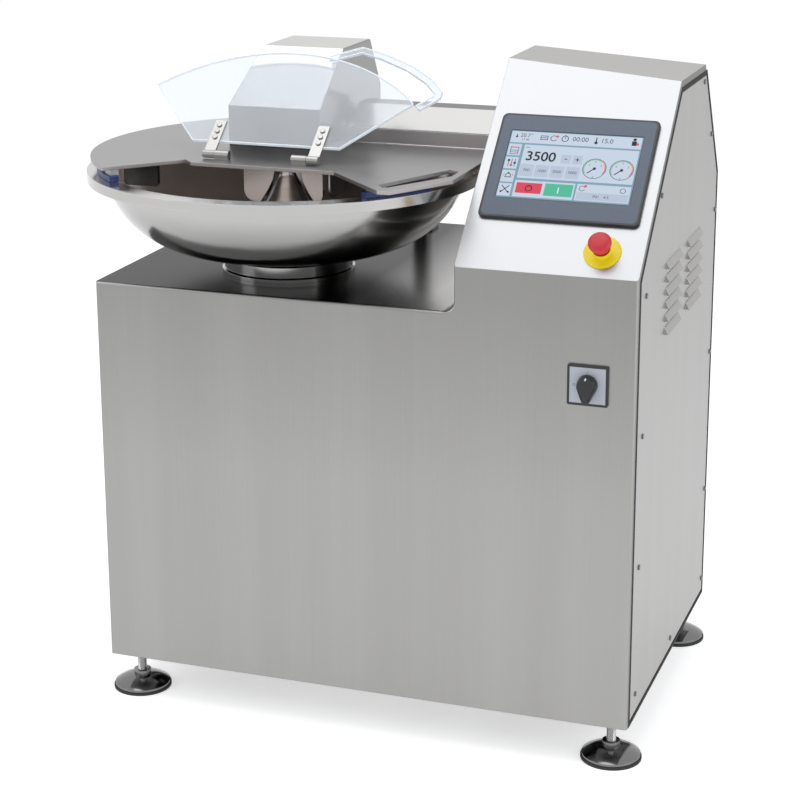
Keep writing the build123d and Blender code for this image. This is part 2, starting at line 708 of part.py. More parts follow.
with BuildPart() as foot_discs:
    for x, y in foot_points:
        with BuildSketch(Plane(origin=(x, y, 0), x_dir=(1, 0, 0), z_dir=(0, -1, 0))):
            with BuildLine():
                edge = Line((0, FOOT_RUBBER_H), (FOOT_DISC_R, FOOT_RUBBER_H))
                lip = Line(edge @ 1, (FOOT_DISC_R, FOOT_RUBBER_H + FOOT_DOME_H / 4))
                dome = ThreePointArc(
                    lip @ 1,
                    (FOOT_BULGE[0], FOOT_RUBBER_H + FOOT_BULGE[1]),
                    (FOOT_COLLAR_R, FOOT_DOME_Z),
                )
                Polyline(
                    dome @ 1,
                    (FOOT_COLLAR_R, FOOT_DOME_Z + FOOT_COLLAR_H),
                    (STEM_R + SCREW_PLAY, FOOT_DOME_Z + FOOT_COLLAR_H),
                    (STEM_R + SCREW_PLAY, FOOT_DOME_Z),
                    (0, FOOT_DOME_Z),
                    edge @ 0,
                )
            make_face()
        revolve(axis=upright(x, y))

with BuildPart() as foot_stems:
    with Locations(*[(x, y, FOOT_DOME_Z) for x, y in foot_points]):
        Cylinder(
            STEM_R,
            CAB_Z + RAIL - RAIL_T - FOOT_DOME_Z - STEM_PLAY,
            align=(Align.CENTER, Align.CENTER, Align.MIN),
        )

with BuildPart() as foot_nuts:
    with BuildSketch(Plane.XY.offset(CAB_Z - NUT_H)):
        with Locations(*foot_points):
            RegularPolygon(NUT_AF / 2, 6, major_radius=False)
            Circle(STEM_R + SCREW_PLAY, mode=Mode.SUBTRACT)
    extrude(amount=NUT_H)

# ==== Bowl ====
with BuildPart() as bowl:
    rim_in_r = TROUGH_IN + sqrt((TROUGH_R - BOWL_T) ** 2 - TROUGH_OVER ** 2)
    web_drop = TROUGH_OVER + RIM_T
    web_r = TROUGH_IN + sqrt(TROUGH_R ** 2 - web_drop ** 2)
    foot_z = TABLE_Z + BOWL_FOOT_RISE
    foot_top_z = TROUGH_Z - sqrt(TROUGH_R ** 2 - (TROUGH_IN - BOWL_FOOT_R) ** 2)
    cone_points = [(CONE_TOP_R + (TROUGH_IN - CONE_TOP_R) * out, FLOOR_Z + rise) for out, rise in CONE]
    under_points = [(r, z - CONE_T) for r, z in cone_points if BOSS_R < r < BOWL_FOOT_IN_R]
    with BuildSketch(Plane(origin=(BOWL_X, BOWL_Y, 0), x_dir=(1, 0, 0), z_dir=(0, -1, 0))):
        with BuildLine():
            rim = Polyline(
                (rim_in_r, RIM_Z),
                (RIM_R, RIM_Z),
                (RIM_R, RIM_Z - RIM_BAND_H),
                (RIM_R - RIM_BAND_T, RIM_Z - RIM_BAND_H),
                (RIM_R - RIM_BAND_T, RIM_Z - RIM_T),
                (web_r, RIM_Z - RIM_T),
            )
            outside = RadiusArc(rim @ 1, (TROUGH_IN, TROUGH_Z - TROUGH_R), TROUGH_R)
            inward = RadiusArc(outside @ 1, (BOWL_FOOT_R, foot_top_z), TROUGH_R)
            under = Polyline(
                inward @ 1,
                (BOWL_FOOT_R, foot_z),
                (BOWL_FOOT_IN_R, foot_z),
                (BOWL_FOOT_IN_R, FLOOR_Z),
                *under_points,
                (BOSS_R, FLOOR_Z + BOSS_RISE),
                (BOSS_R, TABLE_Z + BOSS_RISE),
                (BOWL_SHAFT_R, TABLE_Z + BOSS_RISE),
                (BOWL_SHAFT_R, TABLE_Z + BOSS_END_RISE),
                (0, TABLE_Z + BOSS_END_RISE),
                (0, FLOOR_Z + CONE_TOP_H),
                (CONE_TOP_R - EDGE_R, FLOOR_Z + CONE_TOP_H),
            )
            cap = RadiusArc(under @ 1, (CONE_TOP_R, FLOOR_Z + CONE_TOP_H - EDGE_R), EDGE_R)
            flare = Spline(
                cap @ 1,
                *reversed(cone_points),
                (TROUGH_IN, FLOOR_Z),
                tangents=((0, -1), (1, 0)),
            )
            RadiusArc(flare @ 1, rim @ 0, -(TROUGH_R - BOWL_T))
        make_face()
    revolve(axis=upright(BOWL_X, BOWL_Y))

NECK_Z = TABLE_Z + NECK_RISE
HUB_END_Z = TABLE_Z - HUB_TUBE_L
SEAT_Z = NECK_Z - 2 * SEAL_W

with BuildPart() as bowl_bearing_housing:
    add(turned_z(BOWL_X, BOWL_Y, [
        (BOWL_SHAFT_R + BORE_PLAY, NECK_Z - SEAL_W),
        (SEAL_R + EDGE_R, NECK_Z - SEAL_W),
        (SEAL_R + EDGE_R, NECK_Z),
        (NECK_TOP_R, NECK_Z),
        (NECK_TOP_R, TABLE_Z + NECK_STEP_H),
        (NECK_R, TABLE_Z + NECK_STEP_H - EDGE_R),
        (NECK_R, TABLE_Z),
        (HUB_TUBE_R, TABLE_Z),
        (HUB_TUBE_R, HUB_END_Z),
        (BOWL_BEARING_R, HUB_END_Z),
        (BOWL_BEARING_R, HUB_END_Z + BOWL_BEARING_W),
        (BOWL_SHAFT_R + 2 * EDGE_R, HUB_END_Z + BOWL_BEARING_W),
        (BOWL_SHAFT_R + 2 * EDGE_R, SEAT_Z - BOWL_BEARING_W),
        (BOWL_BEARING_R, SEAT_Z - BOWL_BEARING_W),
        (BOWL_BEARING_R, SEAT_Z),
        (BOWL_SHAFT_R + BORE_PLAY, SEAT_Z),
    ]))

WHEEL_Z = TABLE_Z - WHEEL_DROP

with BuildPart() as bowl_shaft:
    add(turned_z(BOWL_X, BOWL_Y, [
        (0, WHEEL_Z - EDGE_R),
        (BOWL_SHAFT_R - EDGE_R, WHEEL_Z - EDGE_R),
        (BOWL_SHAFT_R, WHEEL_Z),
        (BOWL_SHAFT_R, TABLE_Z + BOSS_END_RISE),
        (0, TABLE_Z + BOSS_END_RISE),
    ]))

with BuildPart() as bowl_wheel:
    add(turned_z(BOWL_X, BOWL_Y, [
        (BOWL_SHAFT_R, WHEEL_Z),
        (BOWL_SHAFT_R * 2, WHEEL_Z),
        (BOWL_SHAFT_R * 2, WHEEL_Z + WHEEL_W / 3),
        (WHEEL_R - WHEEL_W / 3, WHEEL_Z + WHEEL_W / 3),
        (WHEEL_R - WHEEL_W / 3, WHEEL_Z),
        (WHEEL_R, WHEEL_Z),
        (WHEEL_R, WHEEL_Z + WHEEL_W),
        (WHEEL_R - WHEEL_W / 3, WHEEL_Z + WHEEL_W),
        (WHEEL_R - WHEEL_W / 3, WHEEL_Z + WHEEL_W * 2 / 3),
        (BOWL_SHAFT_R * 2, WHEEL_Z + WHEEL_W * 2 / 3),
        (BOWL_SHAFT_R * 2, WHEEL_Z + WHEEL_W + EDGE_R),
        (BOWL_SHAFT_R, WHEEL_Z + WHEEL_W + EDGE_R),
    ]))
    with Locations((BOWL_X, BOWL_Y, WHEEL_Z + WHEEL_W / 2)):
        with PolarLocations(WHEEL_HOLE_IN, 6):
            Cylinder(WHEEL_HOLE_R, WHEEL_W, mode=Mode.SUBTRACT)

GEAR_X = BOWL_X + GEAR_AT[0]
GEAR_Y = BOWL_Y + GEAR_AT[1]
GEAR_TOP_Z = WHEEL_Z - WHEEL_W / 3
PLATE_UNDER_Z = TABLE_Z - SHEET - DRIVE_PLATE_T
gear_post_points = [
    (GEAR_X + i * (GEAR_FLANGE / 2 - 2 * POST_R), GEAR_Y + k * (GEAR_FLANGE / 2 - 2 * POST_R))
    for i in (-1, 1) for k in (-1, 1)
]

with BuildPart() as drive_plate:
    with BuildSketch(Plane.XY.offset(PLATE_UNDER_Z)) as plate_form:
        with Locations((BOWL_X, BOWL_Y)):
            Circle(NECK_R + RAIL)
        with Locations((GEAR_X, GEAR_Y)):
            Rectangle(GEAR_FLANGE, GEAR_FLANGE)
        make_hull()
        with Locations((BOWL_X, BOWL_Y)):
            Circle(HUB_TUBE_R + SCREW_PLAY, mode=Mode.SUBTRACT)
    extrude(amount=DRIVE_PLATE_T)
    with Locations(*[(x, y, PLATE_UNDER_Z) for x, y in gear_post_points]):
        Cylinder(POST_R, PLATE_UNDER_Z - GEAR_TOP_Z, align=(Align.CENTER, Align.CENTER, Align.MAX))

with BuildPart() as bowl_gearmotor:
    with BuildSketch(Plane.XY.offset(GEAR_TOP_Z - GEAR_FLANGE_T)):
        with Locations((GEAR_X, GEAR_Y)):
            RectangleRounded(GEAR_FLANGE, GEAR_FLANGE, 2 * EDGE_R)
    extrude(amount=GEAR_FLANGE_T)
    with Locations((GEAR_X, GEAR_Y, GEAR_TOP_Z - GEAR_FLANGE_T)):
        Cylinder(GEAR_R, GEAR_L, align=(Align.CENTER, Align.CENTER, Align.MAX))
    fillet(bowl_gearmotor.faces().sort_by(Axis.Z)[0].edges(), 2 * EDGE_R)
    with Locations((GEAR_X + GEAR_R, GEAR_Y, GEAR_TOP_Z - GEAR_FLANGE_T - GEAR_BOX_DROP)):
        Box(*GEAR_BOX)
    with Locations((GEAR_X, GEAR_Y, GEAR_TOP_Z)):
        Cylinder(GEAR_SHAFT_R + RUN_PLAY, GEAR_L / 2, mode=Mode.SUBTRACT)

with BuildPart() as gearmotor_pulley:
    add(turned_z(GEAR_X, GEAR_Y, [
        (0, GEAR_TOP_Z - GEAR_FLANGE_T),
        (GEAR_SHAFT_R, GEAR_TOP_Z - GEAR_FLANGE_T),
        (GEAR_SHAFT_R, WHEEL_Z),
        (GEAR_PULLEY_R, WHEEL_Z),
        (GEAR_PULLEY_R, WHEEL_Z + WHEEL_W),
        (GEAR_SHAFT_R, WHEEL_Z + WHEEL_W),
        (GEAR_SHAFT_R, WHEEL_Z + WHEEL_W + EDGE_R),
        (0, WHEEL_Z + WHEEL_W + EDGE_R),
    ]))

with BuildPart() as bowl_belt:
    add(belt(
        Plane.XY.offset(WHEEL_Z + BELT_MARGIN),
        ((BOWL_X, BOWL_Y), (GEAR_X, GEAR_Y)),
        (WHEEL_R, GEAR_PULLEY_R),
        WHEEL_W - 2 * BELT_MARGIN,
    ))

# ==== Knife shaft and arm ====
NOSE_X = BOWL_X + ARM_NOSE
TAIL_X = CONSOLE_X + ARM_TAIL
WALL_X = CONSOLE_X + SHEET
NOSE_SEAT_X = NOSE_X + SEAL_W
TAIL_SEAT_X = TAIL_X - BEARING_W

with BuildPart() as arm_housing:
    add(turned_x(SHAFT_Y, SHAFT_Z, [
        (NOSE_X, SEAL_R),
        (NOSE_X, ARM_R - EDGE_R),
        (NOSE_X + EDGE_R, ARM_R),
        (WALL_X, ARM_R),
        (WALL_X, ARM_FLANGE_R),
        (WALL_X + ARM_FLANGE_T, ARM_FLANGE_R),
        (WALL_X + ARM_FLANGE_T, ARM_R),
        (TAIL_X, ARM_R),
        (TAIL_X, BEARING_R),
        (TAIL_SEAT_X, BEARING_R),
        (TAIL_SEAT_X, SHAFT_MID_R + BORE_PLAY),
        (NOSE_SEAT_X + BEARING_W, SHAFT_MID_R + BORE_PLAY),
        (NOSE_SEAT_X + BEARING_W, BEARING_R),
        (NOSE_SEAT_X, BEARING_R),
        (NOSE_SEAT_X, SEAL_R),
    ]))
    # Relief over the bowl's rim
    with BuildSketch(Plane.XY.offset(RIM_Z + RIM_PLAY)):
        with Locations((BOWL_X, BOWL_Y)):
            Circle(RIM_R + RIM_SIDE_PLAY)
            Circle(rim_in_r - RIM_SIDE_PLAY, mode=Mode.SUBTRACT)
        with Locations((BOWL_X - RIM_R, BOWL_Y)):
            Rectangle(2 * RIM_R, 3 * RIM_R, mode=Mode.SUBTRACT)
    extrude(amount=-ARM_R, mode=Mode.SUBTRACT)

with BuildPart() as arm_screws:
    with Locations(*[
        Location((WALL_X + ARM_FLANGE_T,
                  SHAFT_Y + (ARM_FLANGE_R + ARM_R) / 2 * cos(radians(turn)),
                  SHAFT_Z + (ARM_FLANGE_R + ARM_R) / 2 * sin(radians(turn))), (0, 90, 0))
        for turn in (45, 135, 225, 315)
    ]):
        Cylinder(2 * SCREW_R, 2 * SCREW_R, align=(Align.CENTER, Align.CENTER, Align.MIN))

with BuildPart() as shaft_seals:
    add(turned_z(BOWL_X, BOWL_Y, [
        (BOWL_SHAFT_R + RUN_PLAY, NECK_Z - SEAL_W),
        (SEAL_R + EDGE_R, NECK_Z - SEAL_W),
        (SEAL_R + EDGE_R, NECK_Z - SEAL_SINK),
        (BOWL_SHAFT_R + RUN_PLAY, NECK_Z - SEAL_SINK),
    ]))
    add(turned_x(SHAFT_Y, SHAFT_Z, [
        (NOSE_X, SHAFT_R + RUN_PLAY),
        (NOSE_X, SEAL_R),
        (NOSE_SEAT_X, SEAL_R),
        (NOSE_SEAT_X, SHAFT_R + RUN_PLAY),
    ]))

with BuildPart() as shaft_bearings:
    for low in (HUB_END_Z, SEAT_Z - BOWL_BEARING_W):
        add(turned_z(BOWL_X, BOWL_Y, [
            (BOWL_SHAFT_R + RUN_PLAY, low),
            (BOWL_BEARING_R, low),
            (BOWL_BEARING_R, low + BOWL_BEARING_W),
            (BOWL_SHAFT_R + RUN_PLAY, low + BOWL_BEARING_W),
        ]))
    for start in (NOSE_SEAT_X, TAIL_SEAT_X):
        add(turned_x(SHAFT_Y, SHAFT_Z, [
            (start, SHAFT_R + RUN_PLAY),
            (start, BEARING_R),
            (start + BEARING_W, BEARING_R),
            (start + BEARING_W, SHAFT_R + RUN_PLAY),
        ]))

STACK_X = BOWL_X + HEAD_RIGHT
STACK_W = KNIFE_PAIRS * 2 * KNIFE_T + (KNIFE_PAIRS - 1) * SPACER_W
END_X = STACK_X - STACK_W
NUT_X = END_X - END_PLATE_W

with BuildPart() as knife_shaft:
    add(turned_x(SHAFT_Y, SHAFT_Z, [
        (NUT_X - KNIFE_NUT_W - EDGE_R, 0),
        (NUT_X - KNIFE_NUT_W - EDGE_R, SHAFT_THREAD_R),
        (NUT_X, SHAFT_THREAD_R),
        (NUT_X, SHAFT_SEAT_R),
        (STACK_X, SHAFT_SEAT_R),
        (STACK_X, KNIFE_HUB_R),
        (STACK_X + COLLAR_W, KNIFE_HUB_R),
        (STACK_X + COLLAR_W, SHAFT_R),
        (NOSE_SEAT_X + BEARING_W, SHAFT_R),
        (NOSE_SEAT_X + BEARING_W, SHAFT_MID_R),
        (TAIL_SEAT_X, SHAFT_MID_R),
        (TAIL_SEAT_X, SHAFT_R),
        (CONSOLE_X + SHAFT_TAIL, SHAFT_R),
        (CONSOLE_X + SHAFT_TAIL, 0),
    ]))

blade_centre = KNIFE_R / 2 - EDGE_R * 2
with BuildPart() as blade:
    with BuildSketch(Plane.XY):
        with Locations((blade_centre, 0)):
            Circle(KNIFE_R - blade_centre)
        with Locations((blade_centre - KNIFE_HUB_R / 2, KNIFE_HOLLOW_R)):
            Circle(KNIFE_HOLLOW_R, mode=Mode.SUBTRACT)
        with Locations((-KNIFE_R + KNIFE_HUB_R / 2, 0)):
            Rectangle(2 * KNIFE_R - KNIFE_HUB_R, 2 * KNIFE_R, mode=Mode.SUBTRACT)
        Circle(KNIFE_HUB_R)
        Circle(SHAFT_SEAT_R, mode=Mode.SUBTRACT)
    extrude(amount=KNIFE_T)

with BuildPart() as knives:
    for pair in range(KNIFE_PAIRS):
        for half in (0, 1):
            reach = pair * (2 * KNIFE_T + SPACER_W) + (half + 1) * KNIFE_T
            turn = 180 * half + 180 / KNIFE_PAIRS * pair
            blade_place = Location((STACK_X - reach, SHAFT_Y, SHAFT_Z), (0, 90, 0))
            with Locations(blade_place * Location((0, 0, 0), (0, 0, turn))):
                add(blade.part)

with BuildPart() as knife_spacers:
    for gap in range(KNIFE_PAIRS - 1):
        start = STACK_X - (gap + 1) * (2 * KNIFE_T + SPACER_W)
        add(turned_x(SHAFT_Y, SHAFT_Z, [
            (start, SHAFT_SEAT_R),
            (start, KNIFE_HUB_R),
            (start + SPACER_W, KNIFE_HUB_R),
            (start + SPACER_W, SHAFT_SEAT_R),
        ]))
    # End plate, outside the last pair
    add(turned_x(SHAFT_Y, SHAFT_Z, [
        (NUT_X, SHAFT_SEAT_R),
        (NUT_X, KNIFE_HUB_R - EDGE_R),
        (NUT_X + EDGE_R, KNIFE_HUB_R),
        (END_X, KNIFE_HUB_R),
        (END_X, SHAFT_SEAT_R),
    ]))

with BuildPart() as knife_nut:
    with BuildSketch(x_plane(NUT_X - KNIFE_NUT_W)):
        with Locations((SHAFT_Y, SHAFT_Z)):
            RegularPolygon(KNIFE_NUT_AF / 2, 6, major_radius=False)
            Circle(SHAFT_THREAD_R, mode=Mode.SUBTRACT)
    extrude(amount=KNIFE_NUT_W)


def ribbed_pulley(y, z, start, radius, bore):
    """A poly-V pulley on an axis along X."""
    ribs = [(start, bore), (start, radius)]
    for rib in range(int((PULLEY_W - 2 * RIB_PITCH) / RIB_PITCH)):
        foot = start + RIB_PITCH * (rib + 1)
        ribs += [(foot, radius), (foot + RIB_PITCH / 2, radius - RIB_DEPTH)]
    ribs += [(start + PULLEY_W - RIB_PITCH, radius), (start + PULLEY_W, radius), (start + PULLEY_W, bore)]
    return turned_x(y, z, ribs)


with BuildPart() as knife_pulley:
    add(ribbed_pulley(SHAFT_Y, SHAFT_Z, PULLEY_X, KNIFE_PULLEY_R, SHAFT_R))

with BuildPart() as knife_motor:
    add(turned_x(SHAFT_Y, MOTOR_Z, [
        (MOTOR_X, MOTOR_SHAFT_R + RUN_PLAY),
        (MOTOR_X, MOTOR_R),
        (MOTOR_X + MOTOR_L, MOTOR_R),
        (MOTOR_X + MOTOR_L, MOTOR_SHAFT_R + RUN_PLAY),
    ]))
    with BuildSketch(x_plane(MOTOR_X + COWL_L)):
        with Locations((SHAFT_Y, MOTOR_Z)):
            with PolarLocations(
                MOTOR_R + (MOTOR_FIN_H - MOTOR_FIN_ROOT) / 2, MOTOR_FINS, start_angle=360 / MOTOR_FINS / 2
            ):
                Rectangle(MOTOR_FIN_H + MOTOR_FIN_ROOT, MOTOR_FIN_T)
    extrude(amount=MOTOR_L - COWL_L - MOTOR_END_L)
    with BuildSketch(Plane.XY.offset(CAB_Z + RAIL + MOTOR_PLATE_T)):
        with Locations((MOTOR_X + MOTOR_L / 2, SHAFT_Y)):
            Rectangle(MOTOR_FOOT_L, 2 * MOTOR_R)
    extrude(amount=MOTOR_FOOT_H)
    with Locations((MOTOR_X + MOTOR_BOX_AT, SHAFT_Y, MOTOR_Z + MOTOR_R)):
        Box(*MOTOR_BOX)
    # Fan cowl
    add(turned_x(SHAFT_Y, MOTOR_Z, [
        (MOTOR_X - EDGE_R, MOTOR_SHAFT_R + EDGE_R),
        (MOTOR_X - EDGE_R, MOTOR_R + MOTOR_FIN_H),
        (MOTOR_X + COWL_L - EDGE_R, MOTOR_R + MOTOR_FIN_H),
        (MOTOR_X + COWL_L - EDGE_R, MOTOR_R),
        (MOTOR_X, MOTOR_R),
        (MOTOR_X, MOTOR_SHAFT_R + EDGE_R),
    ]))
    with BuildSketch(x_plane(MOTOR_X)):
        with Locations((SHAFT_Y, MOTOR_Z)):
            Circle(MOTOR_SHAFT_R + RUN_PLAY)
    extrude(amount=MOTOR_L, mode=Mode.SUBTRACT)

with BuildPart() as motor_rotor:
    add(turned_x(SHAFT_Y, MOTOR_Z, [
        (MOTOR_X + COWL_L, 0),
        (MOTOR_X + COWL_L, MOTOR_SHAFT_R),
        (PULLEY_X + PULLEY_W + EDGE_R, MOTOR_SHAFT_R),
        (PULLEY_X + PULLEY_W + EDGE_R, 0),
    ]))

with BuildPart() as motor_pulley:
    add(ribbed_pulley(SHAFT_Y, MOTOR_Z, PULLEY_X, MOTOR_PULLEY_R, MOTOR_SHAFT_R))

with BuildPart() as knife_belt:
    add(belt(
        x_plane(PULLEY_X + BELT_MARGIN),
        ((SHAFT_Y, SHAFT_Z), (SHAFT_Y, MOTOR_Z)),
        (KNIFE_PULLEY_R, MOTOR_PULLEY_R),
        PULLEY_W - 2 * BELT_MARGIN,
    ))


def arm_section(inset):
    """Section of the arm's cover, as (y, z), drawn in by an inset."""
    front, back = SHAFT_Y + COVER_FRONT, SHAFT_Y + COVER_BACK
    low, shoulder, top = RIM_Z + COVER_FOOT, RIM_Z + COVER_SHOULDER, RIM_Z + COVER_TOP
    outline = [(front, low), (front, shoulder), (front + COVER_SLANT, top),
               (back - COVER_SLANT, top), (back, shoulder), (back, low)]
    return inset_outline(outline, [inset] * 5 + [-inset])


COVER_X = BOWL_X + COVER_LEFT

with BuildPart() as arm_cover:
    add(slab(x_plane(COVER_X), arm_section(0), CONSOLE_X - COVER_X))
    fillet(arm_cover.edges().filter_by(Axis.X).group_by(Axis.Z)[-1], EDGE_R)
    fillet(arm_cover.edges().filter_by(Axis.X).group_by(Axis.Z)[1], EDGE_R)
    add(slab(x_plane(COVER_X + COVER_T), arm_section(COVER_T), CONSOLE_X - COVER_X), mode=Mode.SUBTRACT)
    with BuildSketch(x_plane(COVER_X - COVER_T)):
        with Locations((SHAFT_Y, SHAFT_Z)):
            Circle(ARM_R + SCREW_PLAY)
        with Locations((SHAFT_Y, SHAFT_Z - ARM_R)):
            Rectangle(2 * (ARM_R + SCREW_PLAY), 2 * ARM_R)
    extrude(amount=3 * COVER_T, mode=Mode.SUBTRACT)

# ==== Lid ====
HOOD_X0, HOOD_X1 = BOWL_X + HOOD_X[0], BOWL_X + HOOD_X[1]
HOOD_Y0, HOOD_Y1 = SHAFT_Y + HOOD_Y[0], SHAFT_Y + HOOD_Y[1]
HOOD_CENTRE = ((HOOD_X0 + HOOD_X1) / 2, (HOOD_Y0 + HOOD_Y1) / 2)
SLOT_FRONT_Y = SHAFT_Y + COVER_FRONT - ARM_SLOT_PLAY
SLOT_BACK_Y = SHAFT_Y + COVER_BACK + ARM_SLOT_PLAY
GRIP_POINTS = moved(GRIP_SLOT, BOWL_X + RIM_R, SHAFT_Y)


def lid_outline(inset):
    """The lid's plan form, drawn in by an inset, without the openings in its plate."""
    left_points = moved(LID_FRONT_LEFT, BOWL_X, SHAFT_Y)
    right_points = moved(LID_FRONT_RIGHT, BOWL_X + RIM_R, SHAFT_Y)
    right_part = [
        *right_points, (LID_RIGHT_X, SHAFT_Y + LID_FRONT_END),
        (LID_RIGHT_X, SLOT_FRONT_Y), (BOWL_X, SLOT_FRONT_Y), left_points[-1],
    ]
    tail = [
        (LID_TAIL_X[0], SLOT_FRONT_Y), (LID_TAIL_X[1], SLOT_FRONT_Y),
        (LID_TAIL_X[1], LID_BACK_Y), (LID_TAIL_X[0], LID_BACK_Y),
    ]
    front_cut = [
        *left_points, right_points[0],
        (right_points[0][0], FRONT - 2 * LID_R), (left_points[0][0], FRONT - 2 * LID_R),
    ]
    with BuildSketch(Plane.XY) as form:
        with Locations((BOWL_X, BOWL_Y)):
            Circle(LID_R - inset)
        with BuildLine():
            Polyline(*inset_outline(right_part, [-inset] * 4 + [0, 0, -inset]), close=True)
        make_face()
        with BuildLine():
            Polyline(*inset_outline(tail, [0, -inset, -inset, -inset]), close=True)
        make_face()
        with BuildLine():
            Polyline(*inset_outline(front_cut, [-inset] * 4 + [0, 0, 0]), close=True)
        make_face(mode=Mode.SUBTRACT)
        with Locations((HOOD_X1 - HOOD_T, (SLOT_FRONT_Y + SLOT_BACK_Y) / 2)):
            Rectangle(
                2 * RIM_R,
                SLOT_BACK_Y - SLOT_FRONT_Y + 2 * inset,
                align=(Align.MIN, Align.CENTER),
                mode=Mode.SUBTRACT,
            )
    return form.sketch


with BuildPart() as lid_plate:
    with BuildSketch(Plane.XY.offset(LID_UNDER_Z)):
        add(lid_outline(0))
    extrude(amount=LID_EDGE)
    with BuildSketch(Plane.XY.offset(LID_UNDER_Z)):
        add(lid_outline(LID_T))
    extrude(amount=LID_EDGE - LID_T, mode=Mode.SUBTRACT)
    # Edge left standing round the grip slot
    with BuildSketch(Plane.XY.offset(LID_UNDER_Z)):
        with BuildLine():
            Polyline(*GRIP_POINTS, close=True)
        make_face()
        offset(amount=LID_T, kind=Kind.ARC)
    extrude(amount=LID_EDGE)
    with BuildSketch(Plane.XY.offset(LID_UNDER_Z)):
        with BuildLine():
            Polyline(*GRIP_POINTS, close=True)
        make_face()
    extrude(amount=LID_EDGE, mode=Mode.SUBTRACT)
    # Upstand along the arm's cover
    with BuildSketch(Plane.XY.offset(LID_Z - LID_T)):
        with Locations((COVER_X, SLOT_FRONT_Y)):
            Rectangle(LID_RIGHT_X - COVER_X, LID_T, align=(Align.MIN, Align.MAX))
    extrude(amount=UPSTAND_H + LID_T)
    # Opening under the hood
    with BuildSketch(Plane.XY.offset(LID_UNDER_Z)):
        with Locations(HOOD_CENTRE):
            Rectangle(HOOD_X1 - HOOD_X0 - 2 * HOOD_T, HOOD_Y1 - HOOD_Y0 - 2 * HOOD_T)
    extrude(amount=LID_EDGE, mode=Mode.SUBTRACT)


def hood_form(inset):
    """The knife hood's solid form, drawn in by an inset."""
    wall_z = LID_Z + HOOD_WALL_H
    top_centre = (BOWL_X + sum(HOOD_TOP_X) / 2, SHAFT_Y + sum(HOOD_TOP_Y) / 2)
    with BuildPart() as form:
        with BuildSketch(Plane.XY.offset(LID_Z)):
            with Locations(HOOD_CENTRE):
                Rectangle(HOOD_X1 - HOOD_X0 - 2 * inset, HOOD_Y1 - HOOD_Y0 - 2 * inset)
        extrude(amount=HOOD_WALL_H)
        with BuildSketch(Plane.XY.offset(wall_z)):
            with Locations(HOOD_CENTRE):
                Rectangle(HOOD_X1 - HOOD_X0 - 2 * inset, HOOD_Y1 - HOOD_Y0 - 2 * inset)
        with BuildSketch(Plane.XY.offset(LID_Z + HOOD_H - inset)):
            with Locations(top_centre):
                Rectangle(
                    HOOD_TOP_X[1] - HOOD_TOP_X[0] - 2 * inset,
                    HOOD_TOP_Y[1] - HOOD_TOP_Y[0] - 2 * inset,
                )
        loft()
        if not inset:
            fillet(form.faces().sort_by(Axis.Z)[-1].edges(), EDGE_R)
    return form.part


with BuildPart() as knife_hood:
    add(hood_form(0))
    add(hood_form(HOOD_T), mode=Mode.SUBTRACT)
    # Notch for the arm in the right wall, open below
    with BuildSketch(x_plane(HOOD_X1 - 2 * HOOD_T)):
        with Locations((SHAFT_Y, SHAFT_Z)):
            Circle(ARM_R + ARM_NOTCH_PLAY)
    extrude(amount=4 * HOOD_T, mode=Mode.SUBTRACT)

with BuildPart() as knife_guards:
    with BuildSketch(y_plane(HOOD_Y0)) as guard_form:
        with Locations((BOWL_X + sum(GUARD_X) / 2, LID_Z - LID_T)):
            Rectangle(GUARD_X[1] - GUARD_X[0], GUARD_DROP, align=(Align.CENTER, Align.MAX))
        fillet(guard_form.vertices().group_by(Axis.Y)[0], GUARD_R)
        # Cut to the bowl's centre cone
        with BuildLine():
            Polyline(
                *[(BOWL_X - r - GUARD_CONE_PLAY, z) for r, z in cone_points],
                (BOWL_X - CONE_TOP_R - GUARD_CONE_PLAY, FLOOR_Z + CONE_TOP_H + GUARD_CONE_PLAY),
                (BOWL_X + CONE_TOP_R + GUARD_CONE_PLAY, FLOOR_Z + CONE_TOP_H + GUARD_CONE_PLAY),
                *[(BOWL_X + r + GUARD_CONE_PLAY, z) for r, z in reversed(cone_points)],
                close=True,
            )
        make_face(mode=Mode.SUBTRACT)
    extrude(amount=GUARD_T)
    with BuildSketch(x_plane(BOWL_X + SIDE_GUARD_X)) as guard_form:
        with Locations((SHAFT_Y + sum(SIDE_GUARD_Y) / 2, LID_Z - LID_T)):
            Rectangle(SIDE_GUARD_Y[1] - SIDE_GUARD_Y[0], SIDE_GUARD_DROP, align=(Align.CENTER, Align.MAX))
        fillet(guard_form.vertices().group_by(Axis.Y)[0], GUARD_R)
    extrude(amount=GUARD_T)

with BuildPart() as bowl_scraper:
    with BuildSketch(y_plane(BOWL_Y + SCRAPER_Y + SCRAPER_T)) as scraper_form:
        with Locations((BOWL_X - RIM_R + sum(SCRAPER_X) / 2, LID_Z - LID_T)):
            Rectangle(SCRAPER_X[1] - SCRAPER_X[0], SCRAPER_DROP, align=(Align.CENTER, Align.MAX))
        fillet(scraper_form.vertices().group_by(Axis.Y)[0], 2 * EDGE_R)
    extrude(amount=SCRAPER_T)


def rim_arc(middle, span, insets, low, height):
    """A block bent to the bowl's rim, at an angle about the bowl's axis."""
    ends = [radians(middle - span), radians(middle + span)]
    with BuildPart() as piece:
        with BuildSketch(Plane.XY.offset(low)):
            with Locations((BOWL_X, BOWL_Y)):
                Circle(RIM_R - insets[1])
                Circle(RIM_R - insets[0], mode=Mode.SUBTRACT)
            with BuildLine():
                Polyline(
                    (BOWL_X, BOWL_Y),
                    *[(BOWL_X + 2 * RIM_R * cos(end), BOWL_Y + 2 * RIM_R * sin(end)) for end in ends],
                    close=True,
                )
            make_face(mode=Mode.INTERSECT)
        extrude(amount=height)
    return piece.part


with BuildPart() as rim_pads:
    for middle in PAD_ANGLES:
        add(rim_arc(middle, PAD_SPAN, PAD_IN, RIM_Z + PAD_PLAY, PAD_H - PAD_PLAY))

